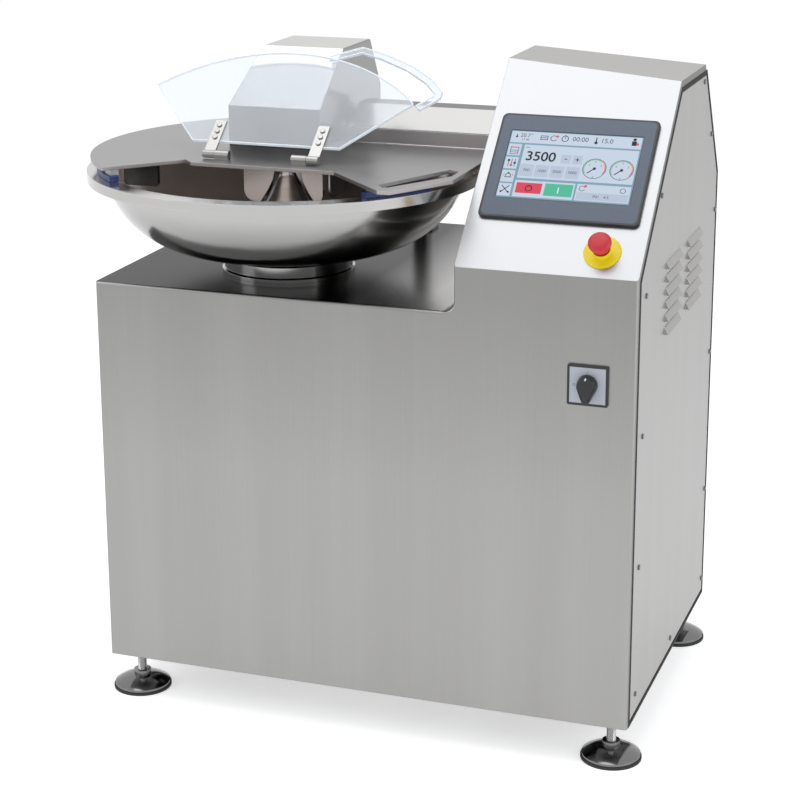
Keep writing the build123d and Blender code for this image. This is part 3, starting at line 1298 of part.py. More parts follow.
with BuildPart() as pad_blocks:
    for middle in (PAD_ANGLES[0] + BLOCK_TURN, PAD_ANGLES[1] - BLOCK_TURN):
        add(rim_arc(middle, BLOCK_SPAN, BLOCK_IN, RIM_Z + PAD_H, LID_Z - LID_T - RIM_Z - PAD_H))

# ==== Lid hinge ====
with BuildPart() as hinge_posts:
    for post_x in POST_X:
        with BuildSketch(Plane.XY.offset(TABLE_Z)):
            with Locations((post_x, LID_AXIS_Y)):
                Rectangle(POST_W, POST_D)
        extrude(amount=LID_AXIS_Z - TABLE_Z)
        with BuildSketch(x_plane(post_x - POST_W / 2)):
            with Locations((LID_AXIS_Y, LID_AXIS_Z)):
                Circle(POST_D / 2)
        extrude(amount=POST_W)
        with BuildSketch(Plane.XY.offset(TABLE_Z)):
            with Locations((post_x, LID_AXIS_Y)):
                RectangleRounded(2 * POST_W, POST_D + POST_W / 2, EDGE_R)
        extrude(amount=2 * EDGE_R)
        with BuildSketch(x_plane(post_x - POST_W / 2)):
            with Locations((LID_AXIS_Y, LID_AXIS_Z)):
                Circle(PIN_R)
        extrude(amount=POST_W, mode=Mode.SUBTRACT)

with BuildPart() as lid_knuckles:
    for post_x in POST_X:
        for side in (-1, 1):
            middle = post_x + side * (POST_W / 2 + HINGE_GAP + KNUCKLE_W / 2)
            with BuildSketch(x_plane(middle - KNUCKLE_W / 2)):
                with Locations((LID_AXIS_Y, LID_AXIS_Z)):
                    Circle(KNUCKLE_R)
                with BuildLine():
                    Polyline(
                        (LID_AXIS_Y, LID_AXIS_Z + KNUCKLE_R),
                        (LID_BACK_Y - 2 * KNUCKLE_R, LID_Z + LID_T),
                        (LID_BACK_Y - 2 * KNUCKLE_R, LID_Z),
                        (LID_BACK_Y, LID_Z),
                        (LID_AXIS_Y, LID_AXIS_Z - KNUCKLE_R),
                        close=True,
                    )
                make_face()
                with Locations((LID_AXIS_Y, LID_AXIS_Z)):
                    Circle(PIN_R + RUN_PLAY, mode=Mode.SUBTRACT)
            extrude(amount=KNUCKLE_W)

with BuildPart() as lid_pins:
    for post_x in POST_X:
        half = POST_W / 2 + HINGE_GAP + KNUCKLE_W + EDGE_R
        with BuildSketch(x_plane(post_x - half)):
            with Locations((LID_AXIS_Y, LID_AXIS_Z)):
                Circle(PIN_R)
        extrude(amount=2 * half)

# ==== Splash cover ====
LEAN = radians(SPLASH_LEAN)
SPLASH_AXIS_Y = HOOD_Y0 - SPLASH_BEFORE
SPLASH_AXIS_Z = LID_Z + SPLASH_AXIS_OVER
# Its own axes are X and up the raised cover; it faces the operator
SPLASH_PLANE = Plane(
    origin=(BOWL_X, SPLASH_AXIS_Y, SPLASH_AXIS_Z),
    x_dir=(1, 0, 0),
    z_dir=(0, -cos(LEAN), sin(LEAN)),
)

with BuildPart() as splash_cover:
    with BuildSketch(SPLASH_PLANE.offset(-STRAP_T / 2)) as cover_form:
        with BuildLine():
            Line(SPLASH_LEFT, SPLASH_FOOT[0])
            Line(*SPLASH_FOOT)
            Line(SPLASH_FOOT[1], SPLASH_RIGHT)
            ThreePointArc(SPLASH_RIGHT, SPLASH_CROWN, SPLASH_LEFT)
        make_face()
        fillet(cover_form.vertices(), EDGE_R)
        for strap_x in STRAP_X:
            with Locations(*[(strap_x, up) for up in STRAP_SCREWS]):
                Circle(SCREW_R + SCREW_PLAY, mode=Mode.SUBTRACT)
    extrude(amount=-SPLASH_T)

with BuildPart() as cover_loop:
    with BuildSketch(SPLASH_PLANE.offset(-STRAP_T / 2 - SPLASH_T)):
        with BuildLine() as loop_line:
            Polyline(*LOOP_OUT)
            fillet(loop_line.vertices()[1:-1], LOOP_W)
            offset(amount=LOOP_W, side=Side.RIGHT, closed=True)
        make_face()
    extrude(amount=-SPLASH_T)

with BuildPart() as cover_straps:
    for strap_x in STRAP_X:
        with BuildSketch(SPLASH_PLANE.offset(STRAP_T / 2)):
            with Locations((strap_x, 0)):
                Rectangle(STRAP_W, STRAP_L, align=(Align.CENTER, Align.MIN))
            with Locations(*[(strap_x, up) for up in STRAP_SCREWS]):
                Circle(SCREW_R + SCREW_PLAY, mode=Mode.SUBTRACT)
        extrude(amount=-STRAP_T)
        with BuildSketch(x_plane(BOWL_X + strap_x - STRAP_W / 2)):
            with Locations((SPLASH_AXIS_Y, SPLASH_AXIS_Z)):
                Circle(BARREL_R)
        extrude(amount=STRAP_W)
        with BuildSketch(x_plane(BOWL_X + strap_x - STRAP_W / 2)):
            with Locations((SPLASH_AXIS_Y, SPLASH_AXIS_Z)):
                Circle(SPLASH_PIN_R + RUN_PLAY)
        extrude(amount=STRAP_W, mode=Mode.SUBTRACT)

with BuildPart() as cover_screws:
    for strap_x in STRAP_X:
        with Locations(*[
            SPLASH_PLANE.offset(STRAP_T / 2).location * Location((strap_x, up, 0)) for up in STRAP_SCREWS
        ]):
            add(button_screw(SCREW_HEAD_R, SCREW_HEAD_H, SCREW_R, SPLASH_T + STRAP_T))

# Each steel sleeve stands on the lid, on the side of its strap that faces the middle
sleeve_starts = [
    BOWL_X + STRAP_X[0] + STRAP_W / 2 + HINGE_GAP,
    BOWL_X + STRAP_X[1] - STRAP_W / 2 - HINGE_GAP - SLEEVE_L,
]

with BuildPart() as cover_sleeves:
    for start in sleeve_starts:
        with BuildSketch(x_plane(start)):
            with Locations((SPLASH_AXIS_Y, SPLASH_AXIS_Z)):
                Circle(SLEEVE_R)
            with Locations((SPLASH_AXIS_Y, LID_Z)):
                Rectangle(SLEEVE_FOOT_W, SPLASH_AXIS_OVER, align=(Align.CENTER, Align.MIN))
            with Locations((SPLASH_AXIS_Y, SPLASH_AXIS_Z)):
                Circle(SPLASH_PIN_R, mode=Mode.SUBTRACT)
        extrude(amount=SLEEVE_L)

with BuildPart() as cover_pins:
    for start, end in (
        (sleeve_starts[0] - HINGE_GAP - STRAP_W, sleeve_starts[0] + SLEEVE_L),
        (sleeve_starts[1], sleeve_starts[1] + SLEEVE_L + HINGE_GAP + STRAP_W),
    ):
        with BuildSketch(x_plane(start)):
            with Locations((SPLASH_AXIS_Y, SPLASH_AXIS_Z)):
                Circle(SPLASH_PIN_R)
        extrude(amount=end - start)

# ==== Controls ====
with BuildPart() as screen_bezel:
    with BuildSketch(SLOPE_PLANE):
        with Locations(SCREEN_AT):
            RectangleRounded(*BEZEL, BEZEL_R)
    extrude(amount=BEZEL_OUT)
    fillet(screen_bezel.faces().sort_by(SLOPE_AXIS)[-1].edges(), BEZEL_OUT / 3)
    with BuildSketch(SLOPE_PLANE.offset(BEZEL_OUT)):
        with Locations((SCREEN_AT[0], SCREEN_AT[1] + GLASS_UP)):
            Rectangle(*GLASS)
    extrude(amount=-BEZEL_OUT / 3, mode=Mode.SUBTRACT)

with BuildPart() as screen_glass:
    with BuildSketch(SLOPE_PLANE.offset(BEZEL_OUT * 2 / 3)):
        with Locations((SCREEN_AT[0], SCREEN_AT[1] + GLASS_UP)):
            Rectangle(*GLASS)
    extrude(amount=BEZEL_OUT / 4)

with BuildPart() as screen_case:
    with BuildSketch(SLOPE_PLANE):
        with Locations(SCREEN_AT):
            RectangleRounded(*CASE, EDGE_R)
    extrude(amount=-CASE_D)

with BuildPart() as stop_plate:
    with BuildSketch(SLOPE_PLANE):
        with Locations(STOP_AT):
            Circle(STOP_PLATE_R)
            Circle(STOP_STEM_R + SCREW_PLAY, mode=Mode.SUBTRACT)
    extrude(amount=STOP_PLATE_T)
    with BuildSketch(SLOPE_PLANE.offset(STOP_PLATE_T)):
        with Locations(STOP_AT):
            Circle(STOP_NECK_R)
            Circle(STOP_STEM_R + SCREW_PLAY, mode=Mode.SUBTRACT)
    extrude(amount=STOP_NECK_H)
    with BuildSketch(SLOPE_PLANE):
        with Locations(STOP_AT):
            Circle(STOP_HOLE_R)
            Circle(STOP_STEM_R + SCREW_PLAY, mode=Mode.SUBTRACT)
    extrude(amount=-4 * SHEET)

STOP_HEAD_UP = STOP_PLATE_T + STOP_NECK_H + STOP_TRAVEL + 1

with BuildPart() as stop_button:
    with BuildSketch(SLOPE_PLANE.offset(STOP_HEAD_UP - STOP_STEM_L)):
        with Locations(STOP_AT):
            Circle(STOP_STEM_R)
    extrude(amount=STOP_STEM_L)
    with BuildSketch(SLOPE_PLANE.offset(STOP_HEAD_UP)):
        with Locations(STOP_AT):
            Circle(STOP_HEAD_R)
    extrude(amount=STOP_HEAD_H)
    fillet(stop_button.faces().sort_by(SLOPE_AXIS)[-1].edges(), STOP_HEAD_H / 2)

with BuildPart() as switch_frame:
    with BuildSketch(y_plane(FRONT)):
        with Locations((SWITCH_X, SWITCH_Z)):
            RectangleRounded(SWITCH_FRAME, SWITCH_FRAME, EDGE_R)
            Circle(SWITCH_STEM_R + SCREW_PLAY, mode=Mode.SUBTRACT)
    extrude(amount=SWITCH_FRAME_T)
    with BuildSketch(y_plane(FRONT - SWITCH_FRAME_T)):
        with Locations((SWITCH_X, SWITCH_Z)):
            Rectangle(SWITCH_PLATE, SWITCH_PLATE)
    extrude(amount=-SWITCH_PLATE_T, mode=Mode.SUBTRACT)

with BuildPart() as switch_plate:
    with BuildSketch(y_plane(FRONT - SWITCH_FRAME_T + SWITCH_PLATE_T)):
        with Locations((SWITCH_X, SWITCH_Z)):
            Rectangle(SWITCH_PLATE, SWITCH_PLATE)
            Circle(SWITCH_STEM_R + SCREW_PLAY, mode=Mode.SUBTRACT)
    extrude(amount=SWITCH_PLATE_T)

KNOB_Y = FRONT - SWITCH_FRAME_T - KNOB_GAP
with BuildPart() as switch_knob:
    with BuildSketch(y_plane(KNOB_Y)):
        with Locations((SWITCH_X, SWITCH_Z)):
            Circle(KNOB_R)
    extrude(amount=KNOB_H)
    with BuildSketch(y_plane(KNOB_Y)) as grip_form:
        with Locations((SWITCH_X, SWITCH_Z)):
            SlotCenterToCenter(KNOB_TAIL, KNOB_GRIP_W, rotation=90)
    extrude(amount=KNOB_GRIP_H)
    fillet(switch_knob.faces().sort_by(Axis.Y)[0].edges(), EDGE_R / 2)
    with BuildSketch(y_plane(KNOB_Y)):
        with Locations((SWITCH_X, SWITCH_Z)):
            Circle(SWITCH_STEM_R)
    extrude(amount=-(SWITCH_FRAME_T + 4 * SHEET))

with BuildPart() as contact_blocks:
    with BuildSketch(SLOPE_PLANE.offset(-4 * SHEET)):
        with Locations(STOP_AT):
            Rectangle(*CONTACT[:2])
    extrude(amount=-CONTACT[2])
    with BuildSketch(SLOPE_PLANE):
        with Locations(STOP_AT):
            Circle(STOP_STEM_R + SCREW_PLAY)
    extrude(amount=-(STOP_STEM_L - STOP_HEAD_UP + STOP_TRAVEL + 1), mode=Mode.SUBTRACT)
    with BuildSketch(y_plane(FRONT + SHEET)):
        with Locations((SWITCH_X, SWITCH_Z)):
            Rectangle(SWITCH_BODY[0], SWITCH_BODY[1])
            Circle(SWITCH_STEM_R + SCREW_PLAY, mode=Mode.SUBTRACT)
    extrude(amount=-4 * SHEET)
    with BuildSketch(y_plane(FRONT + 5 * SHEET)):
        with Locations((SWITCH_X, SWITCH_Z)):
            Rectangle(SWITCH_BODY[0], SWITCH_BODY[1])
    extrude(amount=-SWITCH_BODY[2])

# ==== Electrical board ====
BOARD_Y = BACK - BOARD_IN
BOARD_X = (CONSOLE_X + BOARD_IN_X[0], RIGHT - BOARD_IN_X[1])
with BuildPart() as electrical_board:
    with BuildSketch(y_plane(BOARD_Y)):
        with Locations((sum(BOARD_X) / 2, CAB_Z + RAIL)):
            Rectangle(BOARD_X[1] - BOARD_X[0], BOARD_RISE, align=(Align.CENTER, Align.MIN))
    extrude(amount=BOARD_T)

with BuildPart() as inverters:
    for inverter_in in INVERTER_IN:
        with BuildSketch(y_plane(BOARD_Y - BOARD_T)):
            with Locations((RIGHT - inverter_in, CAB_Z + INVERTER_RISE)):
                RectangleRounded(INVERTER[0], INVERTER[2], EDGE_R)
        extrude(amount=INVERTER[1])

with BuildPart() as contactors:
    with BuildSketch(y_plane(BOARD_Y - BOARD_T)):
        with Locations((sum(BOARD_X) / 2, CAB_Z + CONTACTOR_UP)):
            with GridLocations(CONTACTOR[0] + EDGE_R, CONTACTOR[1], CONTACTORS, 1):
                Rectangle(CONTACTOR[0], CONTACTOR[2])
    extrude(amount=CONTACTOR[1])

PIECES = {
    "body_shell": body_shell,
    "side_panel": side_panel,
    "side_panel_seal": side_panel_seal,
    "panel_screws": panel_screws,
    "rear_panel": rear_panel,
    "cable_gland": cable_gland,
    "base_frame": base_frame,
    "foot_rubbers": foot_rubbers,
    "foot_discs": foot_discs,
    "foot_stems": foot_stems,
    "foot_nuts": foot_nuts,
    "bowl": bowl,
    "bowl_bearing_housing": bowl_bearing_housing,
    "bowl_shaft": bowl_shaft,
    "bowl_wheel": bowl_wheel,
    "drive_plate": drive_plate,
    "bowl_gearmotor": bowl_gearmotor,
    "gearmotor_pulley": gearmotor_pulley,
    "bowl_belt": bowl_belt,
    "arm_housing": arm_housing,
    "arm_screws": arm_screws,
    "arm_cover": arm_cover,
    "shaft_seals": shaft_seals,
    "shaft_bearings": shaft_bearings,
    "knife_shaft": knife_shaft,
    "knives": knives,
    "knife_spacers": knife_spacers,
    "knife_nut": knife_nut,
    "knife_pulley": knife_pulley,
    "knife_motor": knife_motor,
    "motor_rotor": motor_rotor,
    "motor_pulley": motor_pulley,
    "knife_belt": knife_belt,
    "lid_plate": lid_plate,
    "knife_hood": knife_hood,
    "knife_guards": knife_guards,
    "bowl_scraper": bowl_scraper,
    "rim_pads": rim_pads,
    "pad_blocks": pad_blocks,
    "hinge_posts": hinge_posts,
    "lid_knuckles": lid_knuckles,
    "lid_pins": lid_pins,
    "splash_cover": splash_cover,
    "cover_loop": cover_loop,
    "cover_straps": cover_straps,
    "cover_screws": cover_screws,
    "cover_sleeves": cover_sleeves,
    "cover_pins": cover_pins,
    "screen_bezel": screen_bezel,
    "screen_glass": screen_glass,
    "screen_case": screen_case,
    "stop_plate": stop_plate,
    "stop_button": stop_button,
    "switch_frame": switch_frame,
    "switch_plate": switch_plate,
    "switch_knob": switch_knob,
    "contact_blocks": contact_blocks,
    "electrical_board": electrical_board,
    "inverters": inverters,
    "contactors": contactors,
}

os.makedirs("parts", exist_ok=True)
for label, piece in PIECES.items():
    piece.part.label = label
    export_step(piece.part, f"parts/{label}.step")
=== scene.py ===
from math import atan2, pi, radians, tau

import bmesh
import bpy
from mathutils import Matrix, Vector


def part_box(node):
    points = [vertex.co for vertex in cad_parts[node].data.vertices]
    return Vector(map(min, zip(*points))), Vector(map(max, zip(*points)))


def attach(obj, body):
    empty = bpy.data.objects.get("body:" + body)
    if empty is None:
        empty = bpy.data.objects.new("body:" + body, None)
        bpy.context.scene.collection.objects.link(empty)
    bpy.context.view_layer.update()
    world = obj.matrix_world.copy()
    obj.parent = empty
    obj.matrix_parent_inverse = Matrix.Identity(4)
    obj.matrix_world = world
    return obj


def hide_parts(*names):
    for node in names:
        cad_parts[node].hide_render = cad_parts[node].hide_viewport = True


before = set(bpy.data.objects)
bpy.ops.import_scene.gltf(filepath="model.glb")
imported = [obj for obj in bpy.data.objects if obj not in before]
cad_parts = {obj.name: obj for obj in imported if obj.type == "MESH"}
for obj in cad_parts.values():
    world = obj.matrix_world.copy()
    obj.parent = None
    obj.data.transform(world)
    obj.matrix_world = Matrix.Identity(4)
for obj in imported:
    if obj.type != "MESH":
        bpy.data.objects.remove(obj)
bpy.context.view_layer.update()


# ==== Camera ====
# Stands on the right of the operator's place, at head height, with a long lens, and looks down
# over the bowl at the front and the right side.
CAMERA_AT = (1.168, -3.27024, 1.611126)
CAMERA_TURN = 0.3389
CAMERA_DIP = 0.2676
CAMERA_LEAN = -0.0038

camera = bpy.data.objects.new("camera", bpy.data.cameras.new("camera"))
bpy.context.collection.objects.link(camera)
camera.data.sensor_width = 36
camera.data.lens = 93.546
camera.data.shift_y = -0.1
camera.data.clip_end = 60
camera.matrix_world = (
    Matrix.Translation(CAMERA_AT)
    @ Matrix.Rotation(CAMERA_TURN, 4, "Z")
    @ Matrix.Rotation(pi / 2 - CAMERA_DIP, 4, "X")
    @ Matrix.Rotation(CAMERA_LEAN, 4, "Z")
)
bpy.context.scene.camera = camera
bpy.context.scene.view_settings.view_transform = "Standard"


# ==== Studio ====
# A plain white room with a pale floor, and three large soft boxes: one above the machine, one on
# each side of it. What is seen in steel or through the clear cover is the white room too.
ROOM_LIGHT = 0.5
FLOOR_GLOW = 0.58
FLOOR_SIZE = 30
LAMP_TONE = (0.97, 0.985, 1.0)


class Reading:
    """One output of a shader node, which takes part in sums."""

    def __init__(self, tree, socket):
        self.tree = tree
        self.socket = socket

    def sum(self, operation, *others):
        return node(self.tree, "ShaderNodeMath", {"operation": operation}, (self, *others))

    def __add__(self, other):
        return self.sum("ADD", other)

    def __mul__(self, other):
        return self.sum("MULTIPLY", other)

    def __sub__(self, other):
        return self.sum("SUBTRACT", other)

    def __rsub__(self, other):
        return node(self.tree, "ShaderNodeMath", {"operation": "SUBTRACT"}, (other, self))

    def __gt__(self, other):
        return self.sum("GREATER_THAN", other)

    def __lt__(self, other):
        return self.sum("LESS_THAN", other)

    __radd__ = __add__
    __rmul__ = __mul__


def node(tree, kind, settings, values, output=0):
    """Adds a shader node: its settings first, then the values or readings of its sockets."""
    made = tree.nodes.new(kind)
    for name, value in settings.items():
        setattr(made, name, value)
    named = values.items() if isinstance(values, dict) else enumerate(values)
    for name, value in named:
        if isinstance(value, Reading):
            tree.links.new(value.socket, made.inputs[name])
        elif value is not None:
            made.inputs[name].default_value = value
    return Reading(tree, made.outputs[output]) if len(made.outputs) else None


room = bpy.data.worlds.new("studio_room")
bpy.context.scene.world = room
room.use_nodes = True
room.node_tree.nodes.clear()
seen = [
    node(room.node_tree, "ShaderNodeLightPath", {}, (), output)
    for output in ("Is Camera Ray", "Is Glossy Ray", "Is Transmission Ray")
]
lit = node(room.node_tree, "ShaderNodeBackground", {}, ((0.95, 0.97, 1.0, 1), ROOM_LIGHT))
white = node(room.node_tree, "ShaderNodeBackground", {}, ((1, 1, 1, 1), 1.0))
shown = seen[0].sum("MAXIMUM", seen[1]).sum("MAXIMUM", seen[2])
both = node(room.node_tree, "ShaderNodeMixShader", {}, (shown, lit, white))
node(room.node_tree, "ShaderNodeOutputWorld", {}, (both,))

floor_paint = bpy.data.materials.new("floor_paint")
floor_paint.use_nodes = True
tree = floor_paint.node_tree
tree.nodes.clear()
grain = node(tree, "ShaderNodeTexNoise", {}, {"Scale": 3.0, "Detail": 4.0})
floor_tone = node(
    tree, "ShaderNodeMix", {"data_type": "RGBA"},
    {0: grain, 6: (0.88, 0.88, 0.88, 1), 7: (0.9, 0.9, 0.9, 1)}, 2,
)
matt = node(tree, "ShaderNodeBsdfDiffuse", {}, {"Color": floor_tone})
glow = node(tree, "ShaderNodeEmission", {}, ((1, 1, 1, 1), FLOOR_GLOW))
paint = node(tree, "ShaderNodeAddShader", {}, (matt, glow))
node(tree, "ShaderNodeOutputMaterial", {}, (paint,))
floor_sheet = bmesh.new()
bmesh.ops.create_grid(floor_sheet, x_segments=1, y_segments=1, size=FLOOR_SIZE)
floor = bpy.data.objects.new("floor", bpy.data.meshes.new("floor"))
floor_sheet.to_mesh(floor.data)
floor_sheet.free()
floor.data.materials.append(floor_paint)
bpy.context.collection.objects.link(floor)


def soft_box(name, centre, aim, size, power):
    """A square lamp behind a diffuser."""
    lamp = bpy.data.lights.new(name, "AREA")
    lamp.shape = "SQUARE"
    lamp.size = size
    lamp.energy = power
    lamp.color = LAMP_TONE
    made = bpy.data.objects.new(name, lamp)
    bpy.context.collection.objects.link(made)
    pointed = (Vector(aim) - Vector(centre)).to_track_quat("-Z", "Y").to_matrix().to_4x4()
    made.matrix_world = Matrix.Translation(centre) @ pointed


soft_box("box_above", (-0.3, -0.1, 3.6), (0, 0, 0.8), 2.6, 37)
soft_box("box_left", (-3.2, -2.2, 2.2), (0, 0, 0.7), 1.8, 26)
soft_box("box_right", (3.6, -0.6, 1.8), (0, 0, 0.7), 2.0, 30)


# ==== Base frame ====
# Square stainless tube, welded at its corners, carries everything. The finish of all ground sheet
# on the machine starts here: fine scratches along the sheet, broad streaks and soft clouds.
SCRATCH_DEPTH = 0.00012


class Finish:
    """A surface's material, with its own grain and wear."""

    def __init__(self, name, **constants):
        self.material = bpy.data.materials.new(name)
        self.material.use_nodes = True
        self.tree = self.material.node_tree
        self.shader = self.tree.nodes["Principled BSDF"]
        self.place = self.node("ShaderNodeTexCoord", {}, (), "Object")
        for socket, value in constants.items():
            self.set(socket.replace("_", " "), value)

    def node(self, kind, settings, values, output=0):
        return node(self.tree, kind, settings, values, output)

    def set(self, socket, value):
        if isinstance(value, Reading):
            self.tree.links.new(value.socket, self.shader.inputs[socket])
        else:
            self.shader.inputs[socket].default_value = value

    def along(self, axis):
        """The place along one axis, in metres."""
        return self.node("ShaderNodeSeparateXYZ", {}, (self.place,), axis)

    def facing(self, axis):
        """How far the surface faces along one axis, from -1 to 1."""
        faces = self.node("ShaderNodeTexCoord", {}, (), "Normal")
        return self.node("ShaderNodeSeparateXYZ", {}, (faces,), axis)

    def spots(self, scale, detail=2.0, stretch=(1, 1, 1)):
        """Soft random spots; the smaller the stretch, the longer they are along that axis."""
        laid = self.node("ShaderNodeMapping", {}, {"Vector": self.place, "Scale": stretch})
        values = {"Vector": laid, "Scale": scale, "Detail": detail}
        return self.node("ShaderNodeTexNoise", {}, values)

    def between(self, share, low, high, start=0.0, end=1.0):
        """A number that goes from low to high as the share goes from start to end."""
        return self.node(
            "ShaderNodeMapRange", {},
            {"Value": share, "From Min": start, "From Max": end, "To Min": low, "To Max": high},
        )

    def blend(self, share, first, second):
        """A colour from the first to the second."""
        pair = [(*tone, 1) if isinstance(tone, tuple) else tone for tone in (first, second)]
        values = {0: share, 6: pair[0], 7: pair[1]}
        return self.node("ShaderNodeMix", {"data_type": "RGBA"}, values, 2)

    def relief(self, height, depth, strength=1.0, edge=0.0):
        """Raises the surface by a height reading, with its sharp edges worn to a small radius."""
        values = {"Height": height, "Distance": depth, "Strength": strength}
        if edge:
            values["Normal"] = self.node("ShaderNodeBevel", {"samples": 4}, {"Radius": edge})
        self.set("Normal", self.node("ShaderNodeBump", {}, values))


def shade(tone, share):
    """A darker or lighter colour."""
    return tuple(value * share for value in tone)


def brushed_steel(name, tone, stretch, roughness=0.34):
    """Ground stainless sheet; the stretch is smallest along its grain."""
    finish = Finish(name, Metallic=1.0)
    scratches = finish.spots(1.0, 3.0, stretch)
    streaks = finish.spots(1.0, 2.0, tuple(max(share * 0.02, 0.4) for share in stretch))
    clouds = finish.spots(2.6, 3.0)
    fine = finish.blend(scratches, shade(tone, 0.86), shade(tone, 1.06))
    broad = finish.blend(streaks, shade(tone, 0.9), shade(tone, 1.08))
    ground = finish.blend(clouds, fine, broad)
    finish.set("Base Color", ground)
    worn = scratches + clouds * 0.4
    finish.set("Roughness", finish.between(worn, roughness - 0.06, roughness + 0.08))
    finish.relief(scratches, SCRATCH_DEPTH, 0.35, 0.0012)
    return finish.material


def dress(material, *names):
    """Gives CAD nodes their finish."""
    for name in names:
        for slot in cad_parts[name].material_slots:
            slot.material = material


steel = (0.35, 0.345, 0.337)
upright_steel = brushed_steel("steel_brushed_upright", shade(steel, 1.1), (700, 700, 5))
dress(upright_steel, "base_frame", "drive_plate")


# ==== Levelling feet ====
# Each foot is a domed steel disc, polished, on a black rubber ring, with a threaded stem and a
# lock nut under the frame. The stems get their rolled thread here.
FOOT_X = (-0.40475, 0.45325)
FOOT_Y = (-0.19925, 0.31475)
STEM_R = 0.008
THREAD_PITCH = 0.002
THREAD_DEPTH = 0.0009
SHARP_ANGLE = 32          # degrees, past which an edge is seen as one


def piece(name, shape, body, finish, slot, *nodes):
    """Makes a shape a piece that rides on a body, and may stand for CAD nodes."""
    mesh = bpy.data.meshes.new(name)
    for face in shape.faces:
        face.smooth = True
    shape.to_mesh(mesh)
    shape.free()
    mesh.set_sharp_from_angle(angle=radians(SHARP_ANGLE))
    mesh.materials.append(finish)
    made = bpy.data.objects.new(name, mesh)
    bpy.context.collection.objects.link(made)
    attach(made, body)
    if nodes:
        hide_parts(*nodes)


def turned(outline, at, steps):
    """A lathe-turned solid, from (radius, height) points that start and end on the axis."""
    shape = bmesh.new()
    points = [shape.verts.new((radius, 0, height)) for radius, height in outline]
    edges = [shape.edges.new(pair) for pair in zip(points, points[1:])]
    bmesh.ops.spin(
        shape, geom=points + edges, axis=(0, 0, 1), angle=tau, steps=steps, use_merge=True
    )
    bmesh.ops.remove_doubles(shape, verts=shape.verts, dist=0.000001)
    bmesh.ops.recalc_face_normals(shape, faces=shape.faces)
    bmesh.ops.transform(shape, matrix=at, verts=shape.verts)
    return shape


def gather(parts):
    """Joins shapes into one."""
    whole = bmesh.new()
    for part in parts:
        scrap = bpy.data.meshes.new("part")
        part.to_mesh(scrap)
        part.free()
        whole.from_mesh(scrap)
        bpy.data.meshes.remove(scrap)
    return whole


def polished_steel(name, tone, roughness):
    """Mirror-bright stainless with the faint haze of cleaning."""
    finish = Finish(name, Metallic=1.0)
    haze = finish.spots(9.0, 4.0)
    finish.set("Base Color", finish.blend(haze, shade(tone, 0.93), shade(tone, 1.03)))
    finish.set("Roughness", finish.between(haze, roughness - 0.02, roughness + 0.06))
    finish.relief(finish.spots(40.0, 2.0), 0.0001, 0.12, 0.0008)
    return finish.material


def moulded(name, tone, roughness):
    """Moulded plastic or paint with a fine skin."""
    finish = Finish(name)
    skin = finish.spots(900.0, 2.0)
    wear = finish.spots(14.0, 3.0)
    grained = finish.blend(skin, shade(tone, 0.85), shade(tone, 1.05))
    finish.set("Base Color", finish.blend(wear * 0.4, grained, shade(tone, 1.12)))
    uneven = finish.between(skin + wear, roughness - 0.05, roughness + 0.1, 0.4, 1.6)
    finish.set("Roughness", uneven)
    finish.relief(skin, 0.00006, 0.3, 0.0006)
    return finish.material


# The discs' very dark tone is painted shade from under the machine.
disc_steel_painted_shade = polished_steel("steel_discs_painted_shade", (0.2, 0.2, 0.2), 0.12)
stem_steel = polished_steel("steel_turned", (0.55, 0.55, 0.55), 0.2)
rubber = moulded("rubber_black", (0.02, 0.02, 0.021), 0.65)
dress(disc_steel_painted_shade, "foot_discs")
dress(stem_steel, "foot_nuts")
dress(rubber, "foot_rubbers")
stem_low, stem_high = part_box("foot_stems")
thread = [(0, stem_low[2])]
height = stem_low[2]
while height < stem_high[2] - THREAD_PITCH:
    thread += [(STEM_R - THREAD_DEPTH, height), (STEM_R, height + THREAD_PITCH / 2)]
    height += THREAD_PITCH
thread += [(STEM_R - THREAD_DEPTH, stem_high[2]), (0, stem_high[2])]
stems = gather(
    turned(thread, Matrix.Translation((x, y, 0)), 24) for x in FOOT_X for y in FOOT_Y
)
piece("foot_stem_threads", stems, "frame", stem_steel, "bright_stainless", "foot_stems")


# ==== Cabinet ====
# Folded from 2 mm stainless sheet with an upright ground finish; the table under the bowl is
# polished, so that it wipes clean. The rear panel and the lid's hinge posts are of the same sheet.
TABLE_Z = 0.752
CONSOLE_Z = 1.0           # level sheet above this is the console's top
# The slope's lighter, cooler colour is painted light from above.
SLOPE_PAINTED_LIGHT = (0.39, 0.395, 0.405)

shell = Finish("steel_cabinet", Metallic=1.0, Specular_Tint=(0.55, 0.55, 0.56, 1))
scratches = shell.spots(1.0, 3.0, (900, 900, 5))
streaks = shell.spots(1.0, 2.0, (14, 14, 0.5))
clouds = shell.spots(2.4, 3.0)
at_table = (shell.along("Z") < TABLE_Z + 0.02) * (shell.along("Z") > TABLE_Z - 0.02)
on_table = (shell.facing("Z") > 0.9) * at_table
ground = shell.blend(scratches, shade(steel, 0.86), shade(steel, 1.06))
streaked = shell.blend(streaks, shade(steel, 0.84), shade(steel, 1.12))
mixed = shell.blend(clouds, ground, streaked)
# The front is painted darker towards its top: painted shade.
front_top_painted_shade = shell.between(shell.along("Z"), 0.0, 0.27, 0.45, 0.8) * (shell.facing("Y") < -0.9)
# Faces that slope are painted in that lighter colour: painted light.
sloping = (shell.facing("Z") > 0.6) * (shell.facing("Z") < 0.8)
upright_with_painted_shade = shell.blend(front_top_painted_shade, mixed, shade(steel, 0.25))
toned_with_painted_light = shell.blend(sloping * 0.9, upright_with_painted_shade, SLOPE_PAINTED_LIGHT)
# Painted reflection and light: the table darker under the bowl, lighter towards the console.
console_side_painted_light = shell.between(shell.along("X"), 0.0, 1.0, 0.0, 0.13)
table_painted_reflection_and_light = shell.blend(console_side_painted_light, shade(steel, 0.4), shade(steel, 2.2))
